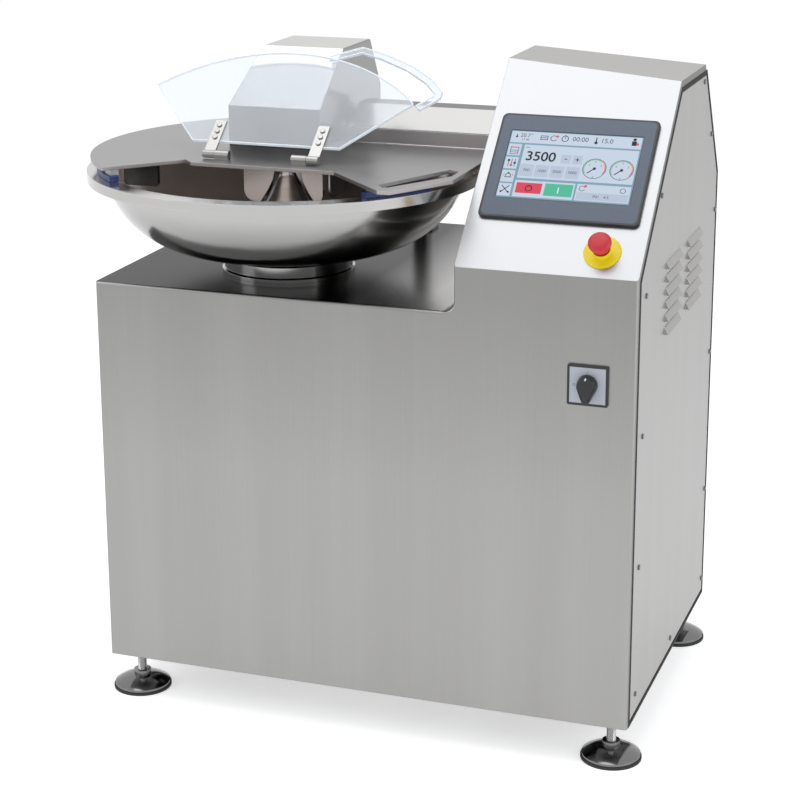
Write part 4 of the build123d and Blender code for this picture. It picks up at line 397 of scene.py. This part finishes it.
# The console's top is painted lighter: painted light.
on_console = (shell.facing("Z") > 0.9) * (shell.along("Z") > CONSOLE_Z)
upper_with_painted_light = shell.blend(on_console, toned_with_painted_light, shade(steel, 1.9))
shell.set("Base Color", shell.blend(on_table, upper_with_painted_light, table_painted_reflection_and_light))
brushed = shell.between(scratches + clouds * 0.5, 0.27, 0.42, 0.0, 1.5)
shell.set("Roughness", brushed * (1 - on_table) + on_table * 0.22)
shell.relief(scratches * (1 - on_table), SCRATCH_DEPTH, 0.4, 0.0015)
dress(shell.material, "body_shell")
dress(upright_steel, "rear_panel", "hinge_posts", "lid_knuckles")


# ==== Bowl drive ====
# A gear motor hangs from the drive plate and turns the bowl through a belt and a cast wheel on
# the bowl's shaft, which runs in a housing that stands through the table as a polished neck.
cast = Finish("aluminium_cast", Metallic=0.9)
pores = cast.spots(700.0, 3.0)
cast.set("Base Color", cast.blend(pores, (0.36, 0.36, 0.37), (0.56, 0.56, 0.57)))
cast.set("Roughness", cast.between(pores, 0.4, 0.6))
cast.relief(pores, 0.0003, 0.5, 0.001)
neck_steel = polished_steel("steel_neck", shade(steel, 1.1), 0.14)
dress(neck_steel, "bowl_bearing_housing")
dress(cast.material, "bowl_wheel", "bowl_gearmotor", "knife_pulley", "motor_pulley")
dress(stem_steel, "bowl_shaft", "gearmotor_pulley", "shaft_bearings")
dress(rubber, "shaft_seals", "bowl_belt", "knife_belt")


# ==== Bowl ====
# A ring trough with a cone in its middle, cast in one piece and turned and polished all over. The
# lathe leaves very fine rings round the bowl's axis.
BOWL_AXIS = (-0.16725, -0.05575)
TROUGH_R = 0.303          # inner edge of the rim
RIM_FOOT_Z = 0.915
CONE_R = (0.105, 0.14)    # where the cone ends and the trough begins

bowl_steel = Finish("steel_bowl", Metallic=1.0)
centred = bowl_steel.node(
    "ShaderNodeMapping", {},
    {"Vector": bowl_steel.place, "Location": (-BOWL_AXIS[0], -BOWL_AXIS[1], 0)},
)
flat = bowl_steel.node("ShaderNodeVectorMath", {"operation": "MULTIPLY"}, (centred, (1, 1, 0)))
radius = bowl_steel.node("ShaderNodeVectorMath", {"operation": "LENGTH"}, (flat,), "Value")
level = bowl_steel.along("Z")
rings = bowl_steel.node(
    "ShaderNodeTexNoise", {"noise_dimensions": "1D"},
    {"W": radius + level * 1.7, "Scale": 900.0, "Detail": 2.0},
)
bands = bowl_steel.node(
    "ShaderNodeTexNoise", {"noise_dimensions": "1D"},
    {"W": radius - level, "Scale": 60.0, "Detail": 2.0},
)
haze = bowl_steel.spots(7.0, 4.0)
inside = (radius < TROUGH_R) * bowl_steel.between(bowl_steel.facing("Z"), 0, 1, -0.2, 0.1)
# Where the bowl faces down it is painted darker: painted shade.
underneath = bowl_steel.between(bowl_steel.facing("Z"), 1, 0, -0.95, -0.35)
# The rim is painted lighter than the wall below it: painted light.
on_rim = (level > RIM_FOOT_Z) * (radius > 0.3)
wall_tone = bowl_steel.blend(haze, shade(steel, 1.1), shade(steel, 1.3))
outer_with_painted_shade = bowl_steel.blend(underneath, wall_tone, shade(steel, 0.22))
rim_painted_light_tone = bowl_steel.blend(on_rim, outer_with_painted_shade, shade(steel, 1.45))
# The trough's warm, pale colour and its lower metallic are a painted reflection.
trough_painted_reflection = bowl_steel.blend(bands, (0.88, 0.79, 0.735), (0.97, 0.91, 0.87))
cone_tone = bowl_steel.blend(bands, (0.46, 0.445, 0.445), (0.6, 0.59, 0.595))
inner_tone_and_painted_reflection = bowl_steel.blend(bowl_steel.between(radius, 1.0, 0.0, *CONE_R), trough_painted_reflection, cone_tone)
bowl_steel.set("Base Color", bowl_steel.blend(inside, rim_painted_light_tone, inner_tone_and_painted_reflection))
in_trough = inside * bowl_steel.between(radius, 0.0, 1.0, *CONE_R)
bowl_steel.set("Metallic", bowl_steel.between(in_trough, 1.0, 0.45))
bowl_steel.set("Roughness", bowl_steel.between(bands + haze, 0.1, 0.24, 0.5, 1.5))
bowl_steel.relief(rings, 0.00006, 0.25, 0.0012)
dress(bowl_steel.material, "bowl")


# ==== Knife shaft housing ====
# The shaft runs in a welded arm between the hood and the console, under a folded cover held by
# screws. Both are polished, because they are wiped down with the bowl.
arm_steel = Finish("steel_arm", Metallic=1.0, Specular_Tint=(0.6, 0.6, 0.61, 1))
wiped = arm_steel.spots(9.0, 4.0)
# The housing's top and its slants are painted darker than its walls: painted shade.
on_top = arm_steel.facing("Z") > 0.95
walls = arm_steel.blend(wiped, shade(steel, 1.05), shade(steel, 1.25))
on_slant = (arm_steel.facing("Z") > 0.2) * (1 - on_top)
sides_with_painted_shade = arm_steel.blend(on_slant, walls, shade(steel, 0.85))
arm_steel.set("Base Color", arm_steel.blend(on_top, sides_with_painted_shade, shade(steel, 0.66)))
arm_steel.set("Roughness", arm_steel.between(wiped, 0.13, 0.22))
arm_steel.relief(wiped, 0.0001, 0.1, 0.0014)
dress(arm_steel.material, "arm_housing", "arm_cover")
dress(stem_steel, "arm_screws")


# ==== Knife head ====
# Sickle knives, their spacers and an end plate are stacked on the shaft and held by a nut. Each
# blade is ground bright along its cutting edge.
KNIFE_AXIS = (0.10025, 0.955)
KNIFE_R = 0.142
EDGE_BAND = 0.009

blade = Finish("steel_blade", Metallic=1.0)
across = blade.node(
    "ShaderNodeMapping", {},
    {"Vector": blade.place, "Location": (0, -KNIFE_AXIS[0], -KNIFE_AXIS[1])},
)
flat = blade.node("ShaderNodeVectorMath", {"operation": "MULTIPLY"}, (across, (0, 1, 1)))
reach = blade.node("ShaderNodeVectorMath", {"operation": "LENGTH"}, (flat,), "Value")
whetted = reach > KNIFE_R - EDGE_BAND
ground_marks = blade.spots(1.0, 2.0, (200, 900, 900))
blade.set("Base Color", blade.blend(whetted, shade(steel, 1.1), (0.72, 0.72, 0.72)))
blade.set("Roughness", blade.between(ground_marks + whetted * 0.4, 0.12, 0.3, 0.0, 1.4))
blade.relief(ground_marks, 0.00005, 0.3, 0.0004)
dress(blade.material, "knives")
dress(polished_steel("steel_knife_head", shade(steel, 1.2), 0.1), "knife_spacers", "knife_nut")
dress(stem_steel, "knife_shaft")


# ==== Knife motor ====
# A foot-mounted motor turns the knife shaft through a poly-V belt. Its ribbed aluminium body is
# painted dark grey, and its foot is bolted to the base frame.
dress(moulded("motor_paint", (0.17, 0.2, 0.23), 0.45), "knife_motor")
dress(stem_steel, "motor_rotor")


# ==== Lid ====
# A stainless plate with a folded edge, an upstand beside the arm and a slotted hand grip. Two
# blue slide pads on pale blocks carry it on the bowl's rim, and a black scraper hangs from it.
lid_steel = Finish("steel_lid", Metallic=1.0, Specular_Tint=(0.85, 0.85, 0.88, 1))
fine = lid_steel.spots(1.0, 3.0, (6, 800, 800))
wiped = lid_steel.spots(5.0, 4.0, (1.0, 2.2, 1.0))
tone = lid_steel.blend(fine, shade(steel, 0.92), shade(steel, 1.1))
upper_tone = lid_steel.blend(wiped, tone, shade(steel, 1.15))
# Faces turned to the front get a pale pinkish tone: a painted highlight on the front edge.
with_edge_painted_highlight = lid_steel.blend(lid_steel.facing("Y") < -0.5, upper_tone, (0.4, 0.375, 0.375))
# The underside's warm, pale colour is a painted reflection.
beneath = lid_steel.facing("Z") < -0.5
lid_steel.set("Base Color", lid_steel.blend(beneath, with_edge_painted_highlight, (0.66, 0.615, 0.585)))
lid_steel.set("Roughness", lid_steel.between(fine + wiped, 0.27, 0.42, 0.4, 1.6))
lid_steel.relief(fine, 0.00008, 0.25, 0.0014)
dress(lid_steel.material, "lid_plate")
hood_steel = Finish("steel_hood", Metallic=1.0)
handled = hood_steel.spots(8.0, 4.0)
# Painted light and shade: slopes lighter, upright faces and the side to the console darker.
upright = hood_steel.facing("Z") < 0.2
handled_and_painted_light = hood_steel.blend(handled, shade(steel, 1.3), shade(steel, 1.5))
painted_light_and_shade = hood_steel.blend(upright, handled_and_painted_light, shade(steel, 0.45))
to_console = hood_steel.facing("X") > 0.5
hood_steel.set("Base Color", hood_steel.blend(to_console, painted_light_and_shade, shade(steel, 0.72)))
hood_steel.set("Roughness", hood_steel.between(handled, 0.18, 0.3))
hood_steel.relief(handled, 0.0001, 0.1, 0.0014)
dress(hood_steel.material, "knife_hood")
dress(polished_steel("steel_guard", (0.27, 0.255, 0.25), 0.2), "knife_guards")
dress(moulded("plastic_scraper", (0.012, 0.012, 0.013), 0.16), "bowl_scraper")
dress(moulded("plastic_blue", (0.01, 0.035, 0.17), 0.35), "rim_pads")
pale_plastic = moulded("plastic_pale", (0.55, 0.56, 0.58), 0.45)
dress(pale_plastic, "pad_blocks", "contact_blocks", "contactors")
dress(stem_steel, "lid_pins")


def slab(width, length, thick, corner, edge, at):
    """A plate with rounded corners and eased edges; the middle of its underside goes to a place."""
    shape = bmesh.new()
    bmesh.ops.create_grid(shape, x_segments=1, y_segments=1, size=0.5)
    bmesh.ops.scale(shape, vec=(width, length, 1), verts=shape.verts)
    if corner:
        bmesh.ops.bevel(
            shape, geom=shape.verts[:], offset=corner, segments=6, profile=0.5,
            affect="VERTICES", material=-1,
        )
    raised = bmesh.ops.extrude_face_region(shape, geom=shape.faces[:], use_keep_orig=True)["geom"]
    top = [part for part in raised if isinstance(part, bmesh.types.BMVert)]
    bmesh.ops.translate(shape, vec=(0, 0, thick), verts=top)
    bmesh.ops.recalc_face_normals(shape, faces=shape.faces)
    if edge:
        brim = [line for line in shape.edges if all(vert.co.z > thick / 2 for vert in line.verts)]
        bmesh.ops.bevel(
            shape, geom=brim, offset=edge, segments=3, profile=0.5, affect="EDGES", material=-1,
        )
    bmesh.ops.transform(shape, matrix=at, verts=shape.verts)
    return shape


# The bead of weld along the foot of the upstand, from the hood to the plate's end
BEAD_T = 0.0016
BEAD_SHORT = 0.002
UPSTAND_Y = 0.04675       # front of the upstand beside the arm
hood_low, hood_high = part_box("knife_hood")
bead_x = (hood_high[0] + BEAD_SHORT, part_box("lid_plate")[1][0] - BEAD_SHORT)
bead = slab(
    bead_x[1] - bead_x[0], BEAD_T, BEAD_T, 0, BEAD_T * 0.6,
    Matrix.Translation((sum(bead_x) / 2, UPSTAND_Y - BEAD_T * 0.45, hood_low[2])),
)
# Its pale pinkish tone is a painted highlight.
bead_painted_highlight = polished_steel("steel_bead_painted_highlight", (0.7, 0.66, 0.66), 0.25)
piece("lid_weld_bead", bead, "lid", bead_painted_highlight, "bright_stainless")


# ==== Splash cover ====
# Bent up from 5 mm clear sheet with flame-polished edges, which look white, and a clear loop to
# lift it by. Two steel straps, three screws each, hold it to the hinge pins on the lid.
EDGE_IN = 0.00015
EDGE_W = 0.0016

# The sheet's faint glow is painted light; its bluish tint is its own.
clear = Finish(
    "plastic_clear", Roughness=0.02, IOR=1.45, Transmission_Weight=0.86, Emission_Strength=0.07
)
tint_and_painted_glow = clear.blend(clear.spots(4.0), (0.735, 0.768, 0.81), (0.76, 0.79, 0.83))
clear.set("Base Color", tint_and_painted_glow)
clear.set("Emission Color", tint_and_painted_glow)
# The edges' glow is painted light for what the sheet carries to them; their milky colour is their
# own.
frosted = Finish("plastic_edge", Roughness=0.3, Emission_Strength=0.36)
milky_and_painted_glow = frosted.blend(frosted.spots(60.0, 2.0), (0.68, 0.72, 0.76), (0.8, 0.82, 0.85))
frosted.set("Base Color", milky_and_painted_glow)
frosted.set("Emission Color", milky_and_painted_glow)
dress(clear.material, "splash_cover", "cover_loop")


def sheet_edges(name):
    """The hazy skin that sawing leaves just inside the edges of a flat sheet."""
    shape = bmesh.new()
    shape.from_mesh(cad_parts[name].data)
    bmesh.ops.remove_doubles(shape, verts=shape.verts, dist=0.00001)
    broad = max(shape.faces, key=lambda face: face.calc_area()).normal.copy()
    wide = [face for face in shape.faces if abs(face.normal.dot(broad)) > 0.5]
    bmesh.ops.delete(shape, geom=wide, context="FACES")
    shape.normal_update()
    for vert in shape.verts:
        vert.co -= vert.normal * EDGE_IN
    bmesh.ops.solidify(shape, geom=shape.faces[:], thickness=EDGE_W)
    bmesh.ops.recalc_face_normals(shape, faces=shape.faces)
    return shape


piece("cover_edges", sheet_edges("splash_cover"), "splash", frosted.material, "clear_plastic")
piece("loop_edges", sheet_edges("cover_loop"), "splash", frosted.material, "clear_plastic")
strap_steel = polished_steel("steel_straps", shade(steel, 1.05), 0.24)
dress(strap_steel, "cover_straps", "cover_screws", "cover_sleeves", "cover_pins")


# ==== Touch screen ====
# A panel-mounted ten-inch operator screen on the console's slope: a dark moulded bezel with a
# blue-grey face film, the lit display behind glass, and a case behind the sheet.
SLOPE_CORNER = (0.19225, -0.24725, 0.827)
SLOPE_TILT = atan2(0.289, 0.298)
BEZEL_MIDDLE = (0.1485, 0.197)
BEZEL_FACE = 0.006
GLASS_FACE = 0.0055
FILM_T = 0.00025
DISPLAY_CORNER = (0.0395, 0.2645)
GRID = 0.0002             # the picture is laid out in fifths of a millimetre
INK_T = 0.00004
MARK_RISE = 3 * INK_T

on_slope = Matrix.Translation(SLOPE_CORNER) @ Matrix.Rotation(SLOPE_TILT, 4, "X")
dress(moulded("plastic_bezel", (0.012, 0.014, 0.018), 0.3), "screen_bezel", "screen_case")


def at_slope(x, y, rise):
    """A place on the slope: across, up it, and above it."""
    return on_slope @ Matrix.Translation((x, y, rise))


def framed(width, length, hole_width, hole_length, hole_up, thick, corner, at):
    """A thin frame with rounded corners and a window."""
    shape = bmesh.new()
    bmesh.ops.create_grid(shape, x_segments=1, y_segments=1, size=0.5)
    bmesh.ops.scale(shape, vec=(width, length, 1), verts=shape.verts)
    bmesh.ops.bevel(
        shape, geom=shape.verts[:], offset=corner, segments=6, profile=0.5,
        affect="VERTICES", material=-1,
    )
    window = shape.faces[:]
    bmesh.ops.inset_region(
        shape, faces=window, thickness=corner / 2, use_boundary=True, use_even_offset=True
    )
    drawn_in = list({vert for face in window for vert in face.verts})
    narrowed = (hole_width / (width - corner), hole_length / (length - corner), 1)
    bmesh.ops.scale(shape, vec=narrowed, verts=drawn_in)
    bmesh.ops.translate(shape, vec=(0, hole_up, 0), verts=drawn_in)
    bmesh.ops.delete(shape, geom=window, context="FACES")
    raised = bmesh.ops.extrude_face_region(shape, geom=shape.faces[:], use_keep_orig=True)["geom"]
    top = [part for part in raised if isinstance(part, bmesh.types.BMVert)]
    bmesh.ops.translate(shape, vec=(0, 0, thick), verts=top)
    bmesh.ops.recalc_face_normals(shape, faces=shape.faces)
    bmesh.ops.transform(shape, matrix=at, verts=shape.verts)
    return shape


film = framed(
    width=0.253, length=0.195, hole_width=0.2205, hole_length=0.1335, hole_up=0.002,
    thick=FILM_T, corner=0.009, at=at_slope(*BEZEL_MIDDLE, BEZEL_FACE),
)
face_film = Finish("film_blue_grey", Roughness=0.42, Coat_Weight=0.1)
dust = face_film.spots(400.0, 2.0)
face_film.set("Base Color", face_film.blend(dust, (0.058, 0.078, 0.118), (0.08, 0.104, 0.155)))
face_film.relief(dust, 0.00002, 0.2)
piece("bezel_film", film, "frame", face_film.material, "dark_plastic")


def lit(name, tone, strength=0.6):
    """A lit part of the display, with its faint pixel rows."""
    finish = Finish(name, Roughness=0.25, Emission_Strength=strength)
    finish.set("Specular IOR Level", 0.2)
    rows = finish.node(
        "ShaderNodeTexWave", {"bands_direction": "X"}, {"Vector": finish.place, "Scale": 900.0}
    )
    shown_tone = finish.blend(rows * 0.3, tone, shade(tone, 0.85))
    finish.set("Base Color", finish.blend(rows * 0.3, shade(tone, 0.25), shade(tone, 0.2)))
    finish.set("Emission Color", shown_tone)
    return finish.material


dress(lit("display_ground", (0.24, 0.4, 0.52)), "screen_glass")


def at_display(x, y, rise):
    """A place on the display, across and down from its top left corner."""
    left, top = DISPLAY_CORNER
    return at_slope(left + x * GRID, top - y * GRID, GLASS_FACE + rise)


def tile(left, top, right, bottom, rise):
    """A plain field of the display's picture."""
    middle = at_display((left + right) / 2, (top + bottom) / 2, rise)
    return slab((right - left) * GRID, (bottom - top) * GRID, INK_T, 3 * GRID, 0, middle)


def stroke(x0, y0, x1, y1, wide):
    """A straight line of the display's picture."""
    middle = at_display((x0 + x1) / 2, (y0 + y1) / 2, MARK_RISE)
    turned_to = middle @ Matrix.Rotation(atan2(y0 - y1, x1 - x0), 4, "Z")
    length = ((x1 - x0) ** 2 + (y1 - y0) ** 2) ** 0.5
    return slab(length * GRID, wide * GRID, INK_T, 0, 0, turned_to)


def arc(x, y, outer, inner, start=0, end=360):
    """A ring or a part of one, its angles counted from the right and upwards."""
    shape = bmesh.new()
    pair = [shape.verts.new((radius * GRID, 0, 0)) for radius in (inner, outer)]
    bmesh.ops.rotate(shape, verts=pair, matrix=Matrix.Rotation(radians(start), 3, "Z"))
    line = shape.edges.new(pair)
    full = end - start == 360
    steps = max(6, round((end - start) / 9))
    bmesh.ops.spin(
        shape, geom=[*pair, line], axis=(0, 0, 1), angle=radians(end - start), steps=steps,
        use_merge=full,
    )
    bmesh.ops.remove_doubles(shape, verts=shape.verts, dist=0.0000001)
    bmesh.ops.recalc_face_normals(shape, faces=shape.faces)
    bmesh.ops.solidify(shape, geom=shape.faces[:], thickness=INK_T)
    bmesh.ops.transform(shape, matrix=at_display(x, y, MARK_RISE), verts=shape.verts)
    return shape


def disc(x, y, radius):
    """A round dot of the display's picture."""
    shape = bmesh.new()
    bmesh.ops.create_cone(
        shape, cap_ends=True, segments=24, radius1=radius * GRID, radius2=radius * GRID, depth=INK_T
    )
    bmesh.ops.transform(shape, matrix=at_display(x, y, MARK_RISE), verts=shape.verts)
    return shape


def letters(text, height, at, bold=0.0):
    """Plain figures and letters, as a thin solid; the middle of the line goes to a place."""
    curve = bpy.data.curves.new("letters", "FONT")
    curve.body = text
    curve.size = height / 0.7
    curve.offset = bold
    curve.extrude = INK_T / 2
    curve.align_x = "CENTER"
    curve.align_y = "CENTER"
    written = bpy.data.objects.new("letters", curve)
    flat_mesh = bpy.data.meshes.new_from_object(written)
    shape = bmesh.new()
    shape.from_mesh(flat_mesh)
    bmesh.ops.transform(shape, matrix=at, verts=shape.verts)
    bpy.data.objects.remove(written)
    return shape


def figures(text, x, y, tall, bold=0.0):
    """Figures of the display's picture."""
    return letters(text, tall * GRID, at_display(x, y, MARK_RISE), bold)


def show(name, parts, tone_name, tone, strength=0.6):
    """Puts marks of one colour on the display."""
    colour = lit(f"display_{tone_name}", tone, strength)
    piece(f"display_{name}", gather(parts), "frame", colour, "screen")


fields = [
    (5, 6, 1082, 118), (5, 132, 112, 246), (5, 262, 112, 376), (5, 392, 112, 506),
    (5, 520, 112, 640), (136, 134, 1078, 460), (132, 482, 626, 640), (642, 482, 1078, 640),
]
show("fields", [tile(*field, INK_T) for field in fields], "pale", (0.66, 0.76, 0.9))
keys = [
    (460, 212, 540, 296), (556, 212, 636, 296), (142, 325, 256, 440), (268, 325, 381, 440),
    (394, 325, 507, 440), (520, 325, 634, 440), (652, 560, 1068, 630),
]
show("keys", [tile(*key, 2 * INK_T) for key in keys], "key", (0.55, 0.64, 0.78))
show("stop_key", [tile(148, 503, 360, 604, 2 * INK_T)], "red", (0.83, 0.05, 0.1))
show("start_key", [tile(384, 498, 614, 616, 2 * INK_T)], "green", (0.08, 0.56, 0.36))
dark_marks = [
    figures("3500", 290, 247, 88, 0.0004), stroke(488, 254, 512, 254, 6),
    stroke(578, 254, 612, 254, 7), stroke(595, 237, 595, 271, 7), arc(254, 556, 30, 21),
    disc(748, 328, 13), disc(969, 328, 13), stroke(748, 328, 694, 376, 8),
    stroke(969, 328, 915, 376, 8), disc(1022, 26, 14), tile(1003, 42, 1041, 86, MARK_RISE),
    disc(712, 78, 14), stroke(712, 28, 712, 74, 9), disc(52, 60, 9), stroke(52, 34, 52, 58, 6),
    disc(36, 296, 11), disc(88, 320, 11), stroke(30, 540, 92, 608, 7),
    stroke(92, 540, 30, 608, 7), disc(32, 600, 9), disc(92, 602, 9), disc(60, 418, 7),
]
show("dark_marks", dark_marks, "ink", (0.012, 0.016, 0.024), 0.1)
grey_marks = [
    figures("20.7", 122, 45, 34), arc(176, 30, 6, 3), figures("17:40", 128, 86, 20),
    arc(454, 56, 30, 23), stroke(454, 56, 454, 38, 5), stroke(454, 22, 454, 30, 12),
    figures("00:00", 582, 56, 42), figures("15.0", 800, 58, 42), figures("700", 198, 382, 26),
    figures("1000", 324, 382, 26), figures("2000", 450, 382, 26), figures("3000", 577, 382, 26),
    stroke(250, 40, 312, 40, 6), stroke(250, 58, 312, 58, 6), stroke(250, 76, 312, 76, 6),
    stroke(252, 38, 252, 80, 5), stroke(310, 38, 310, 80, 5), arc(360, 58, 28, 22, 20, 340),
    stroke(150, 160, 182, 160, 5), arc(748, 328, 97, 92), arc(969, 328, 97, 92),
    figures("P01   4.5", 850, 596, 26), arc(686, 524, 26, 21, 20, 340), arc(1016, 524, 24, 19),
    arc(60, 444, 24, 17, -20, 200), stroke(30, 458, 90, 458, 7), stroke(28, 196, 92, 196, 5),
    stroke(28, 214, 92, 214, 5), stroke(28, 232, 92, 232, 5), stroke(28, 160, 28, 234, 5),
    stroke(92, 160, 92, 234, 5), stroke(36, 280, 36, 356, 5), stroke(62, 280, 62, 356, 5),
    stroke(88, 280, 88, 356, 5), figures("0", 748, 412, 16), figures("2", 702, 298, 16),
    figures("4", 748, 264, 16), figures("6", 798, 298, 16), figures("0", 969, 412, 16),
    figures("2", 920, 298, 16), figures("4", 969, 264, 16), figures("6", 1018, 298, 16),
]
show("grey_marks", grey_marks, "grey", (0.09, 0.11, 0.15), 0.3)
green_marks = [arc(748, 328, 90, 82, 60, 215), arc(969, 328, 90, 82, 50, 215)]
show("green_marks", green_marks, "leaf", (0.22, 0.6, 0.3))
red_marks = [
    arc(748, 328, 90, 82, -35, 22), arc(969, 328, 90, 82, -40, 5), disc(388, 38, 12),
    disc(712, 500, 12), disc(62, 342, 11), stroke(28, 166, 92, 166, 10),
    stroke(26, 424, 22, 452, 5), stroke(94, 424, 98, 452, 5), disc(1050, 70, 13),
]
show("red_marks", red_marks, "rose", (0.85, 0.12, 0.18))
amber_marks = [arc(748, 328, 90, 82, 22, 60), arc(969, 328, 90, 82, 5, 50)]
show("amber_marks", amber_marks, "amber", (0.85, 0.45, 0.12))
show("start_mark", [stroke(497, 530, 497, 588, 9)], "white", (0.9, 0.95, 1))


# ==== Emergency stop ====
# A red mushroom head that latches when pressed, on a yellow collar plate; both are moulded. The
# switch's nut clamps the collar on the console's slope from behind.
STOP_AT = (0.231, 0.047)
COLLAR_R = 0.03
BORE_R = 0.0136           # in the collar, for the head to sink into
HEAD_R = 0.0185

on_stop = at_slope(*STOP_AT, 0)
collar = [
    (0, 0.0001), (COLLAR_R, 0.0001), (COLLAR_R, 0.0014), (COLLAR_R - 0.0005, 0.0019),
    (COLLAR_R - 0.0012, 0.0021), (0.0152, 0.0032), (0.0148, 0.0036), (0.0146, 0.0096),
    (0.0143, 0.0101), (0.0138, 0.0101), (BORE_R, 0.0099), (BORE_R, 0.004), (0, 0.004),
]
piece(
    "stop_collar", turned(collar, on_stop, 72), "frame",
    moulded("plastic_yellow", (0.86, 0.7, 0.0), 0.35), "yellow_plastic", "stop_plate",
)
head = [
    (0, 0.0085), (0.0118, 0.0085), (0.0124, 0.0091), (0.0128, 0.0135), (0.0142, 0.0168),
    (0.0163, 0.0205), (0.0178, 0.0238), (HEAD_R, 0.0268), (HEAD_R, 0.0286), (0.0181, 0.0304),
    (0.017, 0.0322), (0.015, 0.0337), (0.0118, 0.0347), (0.007, 0.0353), (0, 0.0355),
]
piece(
    "stop_head", turned(head, on_stop, 72), "stop",
    moulded("plastic_red", (0.58, 0.018, 0.035), 0.42), "red_plastic", "stop_button",
)


# ==== Main switch ====
# A turning switch with two places, marked O and I on its pale face plate. The knob has a tail
# for the hand and a white pointer let into it.
SWITCH_AT = (0.41325, 0.654)
KNOB_R = 0.017
KNOB_OUT = 0.0145
KNOB_TAIL = 0.0245
MARK_TALL = 0.0042
MARK_FROM_AXIS = 0.0218
SWITCH_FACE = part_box("switch_plate")[0][1]
switch_black = moulded("plastic_black", (0.014, 0.014, 0.017), 0.3)
dress(switch_black, "switch_frame", "cable_gland")
dress(moulded("paint_plate", (0.45, 0.47, 0.53), 0.3), "switch_plate")


def at_switch(x, z, front):
    """A place before the switch's face, across and up from the knob's axis."""
    moved = Matrix.Translation((SWITCH_AT[0] + x, front, SWITCH_AT[1] + z))
    return moved @ Matrix.Rotation(pi / 2, 4, "X")


mark_ink = moulded("ink_grey", (0.1, 0.11, 0.13), 0.5)
switch_marks = gather([
    letters("I", MARK_TALL, at_switch(0, MARK_FROM_AXIS, SWITCH_FACE)),
    letters("O", MARK_TALL, at_switch(-MARK_FROM_AXIS, 0, SWITCH_FACE)),
])
piece("switch_marks", switch_marks, "frame", mark_ink, "black_plastic")
knob = bmesh.new()
for radius, out, drop_to in ((KNOB_R, KNOB_OUT, 0), (0.0055, 0.0165, KNOB_TAIL)):
    bmesh.ops.create_cone(
        knob, cap_ends=True, segments=48, radius1=radius, radius2=radius * 0.86, depth=out,
        matrix=Matrix.Translation((0, -drop_to, out / 2)),
    )
hull = bmesh.ops.convex_hull(knob, input=knob.verts[:], use_existing_faces=False)
spare = {
    part for part in (*hull["geom_interior"], *hull["geom_unused"])
    if isinstance(part, bmesh.types.BMVert)
}
bmesh.ops.delete(knob, geom=list(spare), context="VERTS")
kept = {part for part in hull["geom"] if isinstance(part, bmesh.types.BMFace)}
bmesh.ops.delete(knob, geom=[face for face in knob.faces if face not in kept], context="FACES")
bmesh.ops.dissolve_limit(knob, angle_limit=radians(4), verts=knob.verts, edges=knob.edges)
bmesh.ops.bevel(
    knob, geom=[line for line in knob.edges if line.calc_face_angle(0) > radians(30)],
    offset=0.0018, segments=3, profile=0.5, affect="EDGES", material=-1,
)
bmesh.ops.recalc_face_normals(knob, faces=knob.faces)
bmesh.ops.transform(knob, matrix=at_switch(0, 0.0015, SWITCH_FACE), verts=knob.verts)
piece("switch_knob_grip", knob, "switch", switch_black, "black_plastic", "switch_knob")
pointer = slab(0.0034, 0.017, 0.0005, 0.0016, 0, Matrix())
for vert in pointer.verts:
    vert.co.x -= (vert.co.y - 0.0085) ** 2 * 9
    vert.co.x *= 1 if vert.co.y < 0 else 0.75
let_in = at_switch(-0.0005, 0.008, SWITCH_FACE - KNOB_OUT + 0.0003)
bmesh.ops.transform(
    pointer, matrix=let_in @ Matrix.Rotation(radians(-6), 4, "Z"), verts=pointer.verts
)
white_plastic = moulded("plastic_white", (0.7, 0.72, 0.74), 0.4)
piece("switch_pointer", pointer, "switch", white_plastic, "black_plastic")


# ==== Electrical parts ====
# Two inverters, one for each drive, and the contactors are fixed on a galvanised plate, which is
# screwed up inside the console.
zinc = Finish("zinc_plate", Metallic=0.8, Roughness=0.45)
flakes = zinc.node("ShaderNodeTexVoronoi", {}, {"Vector": zinc.place, "Scale": 90.0}, "Color")
flake_tone = zinc.node("ShaderNodeSeparateColor", {}, (flakes,))
zinc.set("Base Color", zinc.blend(flake_tone, (0.42, 0.44, 0.46), (0.6, 0.62, 0.64)))
dress(zinc.material, "electrical_board")
dress(moulded("plastic_inverter", (0.05, 0.06, 0.07), 0.4), "inverters")


# ==== Side panel ====
# The service panel is screwed on with twelve screws over a dark seal, and has pressed louvres
# that open downwards and cool the motors.
LIP_W = 0.007
LIP_OUT = 0.0013

panel = brushed_steel("steel_panel", shade(steel, 1.1), (900, 900, 6), 0.38)
dress(panel, "side_panel")
dress(rubber, "side_panel_seal")
dress(polished_steel("steel_screws", (0.16, 0.16, 0.16), 0.3), "panel_screws")

# The seal's lip stands a little proud of the joint, all round
lip = bmesh.new()
lip.from_mesh(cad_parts["side_panel_seal"].data)
bmesh.ops.remove_doubles(lip, verts=lip.verts, dist=0.00001)
seal_low, seal_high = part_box("side_panel_seal")
middle = Vector([(low + high) / 2 for low, high in zip(seal_low, seal_high)])
unwanted = [
    face for face in lip.faces
    if abs(face.normal.x) > 0.5 or face.normal.dot(face.calc_center_median() - middle) < 0
]
bmesh.ops.delete(lip, geom=unwanted, context="FACES")
bmesh.ops.solidify(lip, geom=lip.faces[:], thickness=-LIP_W)
bmesh.ops.recalc_face_normals(lip, faces=lip.faces)
bmesh.ops.translate(lip, vec=(LIP_OUT, 0, 0), verts=lip.verts)
# The lip's near-black is partly painted shade in the joint.
lip_rubber_and_painted_shade = moulded("rubber_lip_and_painted_shade", (0.004, 0.004, 0.004), 0.8)
piece("side_panel_lip", lip, "frame", lip_rubber_and_painted_shade, "black_rubber")
